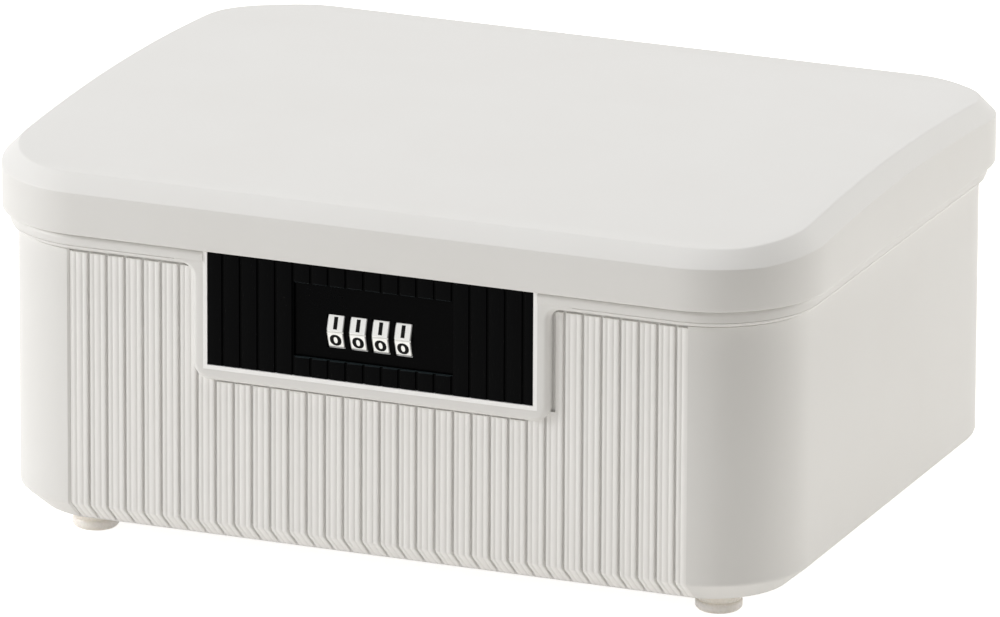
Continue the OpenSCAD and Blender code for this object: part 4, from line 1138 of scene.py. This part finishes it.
stageSize = {
    "floorHalf": 6.0, "floorTone": (0.82, 0.80, 0.765), "floorRough": 0.9, "glow": 0.19,
    "cameraLift": 0.75, "worldTone": 0.18, "worldTint": (1.0, 0.98, 0.93),
}


def straightRays(tree):
    # 1 for rays that show the background itself or its mirror image, 0 for rays that gather light
    path = tree.nodes.new("ShaderNodeLightPath").outputs
    seen = mathNode(tree, "ADD", (path["Is Camera Ray"], path["Is Glossy Ray"]), (-600, 0))
    return mathNode(tree, "ADD", (seen, path["Is Transmission Ray"]), (-400, 0), clamp=True)


def makeStage():
    s = stageSize
    half = s["floorHalf"]
    mesh = bpy.data.meshes.new("floor")
    mesh.from_pydata([(x, y, 0) for x, y in rectangle(-half, half, -half, half)], [], [(0, 1, 2, 3)])
    floor = placeObject("floor", mesh)
    material = bpy.data.materials.new("paleFloor")
    material.use_nodes = True
    tree = material.node_tree
    shader = tree.nodes["Principled BSDF"].inputs
    shader["Base Color"].default_value = (*s["floorTone"], 1)
    shader["Roughness"].default_value = s["floorRough"]
    lift = mapRange(tree, straightRays(tree), (0.0, 1.0), (s["glow"], s["cameraLift"]), (-200, -200))
    shader["Emission Color"].default_value = (1, 1, 1, 1)
    tree.links.new(lift, shader["Emission Strength"])
    mesh.materials.append(material)

    world = bpy.data.worlds.new("studio")
    bpy.context.scene.world = world
    world.use_nodes = True
    tree = world.node_tree
    back = tree.nodes["Background"].inputs
    seen = straightRays(tree)
    strength = mapRange(tree, seen, (0.0, 1.0), (s["worldTone"], 1.0), (-200, -100))
    tree.links.new(strength, back["Strength"])
    tree.links.new(blendColour(tree, seen, s["worldTint"], (1.0, 1.0, 1.0), (-200, 200)), back["Color"])


# place, width, height, power and tint
lamps = {
    "keyLeft": ((-2.4, -1.4, 1.1), 1.2, 1.0, 42.0, (0.99, 0.995, 1.0)),
    "overhead": ((-0.1, -0.1, 2.4), 1.5, 1.5, 30.0, (1.0, 1.0, 1.0)),
    "sideRight": ((2.0, 1.55, 0.95), 1.3, 1.0, 24.0, (1.0, 0.985, 0.95)),
}
lampAim = (0, 0, 0.07)


def makeLamps():
    for name, (place, wide, high, power, tint) in lamps.items():
        light = bpy.data.lights.new(name, "AREA")
        light.shape = "ELLIPSE"
        light.size = wide
        light.size_y = high
        light.energy = power
        light.color = tint
        holder = placeObject(name, light)
        holder.location = place
        aim = Vector(lampAim) - Vector(place)
        holder.rotation_euler = aim.to_track_quat("-Z", "Y").to_euler()


view = {"place": (1.6716, -4.07485, 1.4284), "azimuth": 22.3314, "elevation": 17.1885, "roll": 0.2402,
        "lens": 485.34, "sensor": 36, "shiftX": 0.000568, "shiftY": -0.00121, "near": 0.1, "far": 60}


def makeCamera():
    az, el, roll = (radians(view[key]) for key in ("azimuth", "elevation", "roll"))
    ahead = Vector((-sin(az) * cos(el), cos(az) * cos(el), -sin(el)))
    right = Vector((cos(az), sin(az), 0))
    up = right.cross(ahead)
    side = right * cos(roll) + up * sin(roll)
    top = up * cos(roll) - right * sin(roll)
    data = bpy.data.cameras.new("camera")
    data.lens = view["lens"]
    data.sensor_width = view["sensor"]
    data.shift_x = view["shiftX"]
    data.shift_y = view["shiftY"]
    data.clip_start = view["near"]
    data.clip_end = view["far"]
    camera = placeObject("camera", data)
    turn = Matrix((side, top, -ahead)).transposed()
    camera.matrix_world = Matrix.Translation(view["place"]) @ turn.to_4x4()
    bpy.context.scene.camera = camera


makeStage()
makeLamps()
makeCamera()
bpy.context.scene.view_settings.view_transform = "Standard"
print("stage, lamps and camera set")
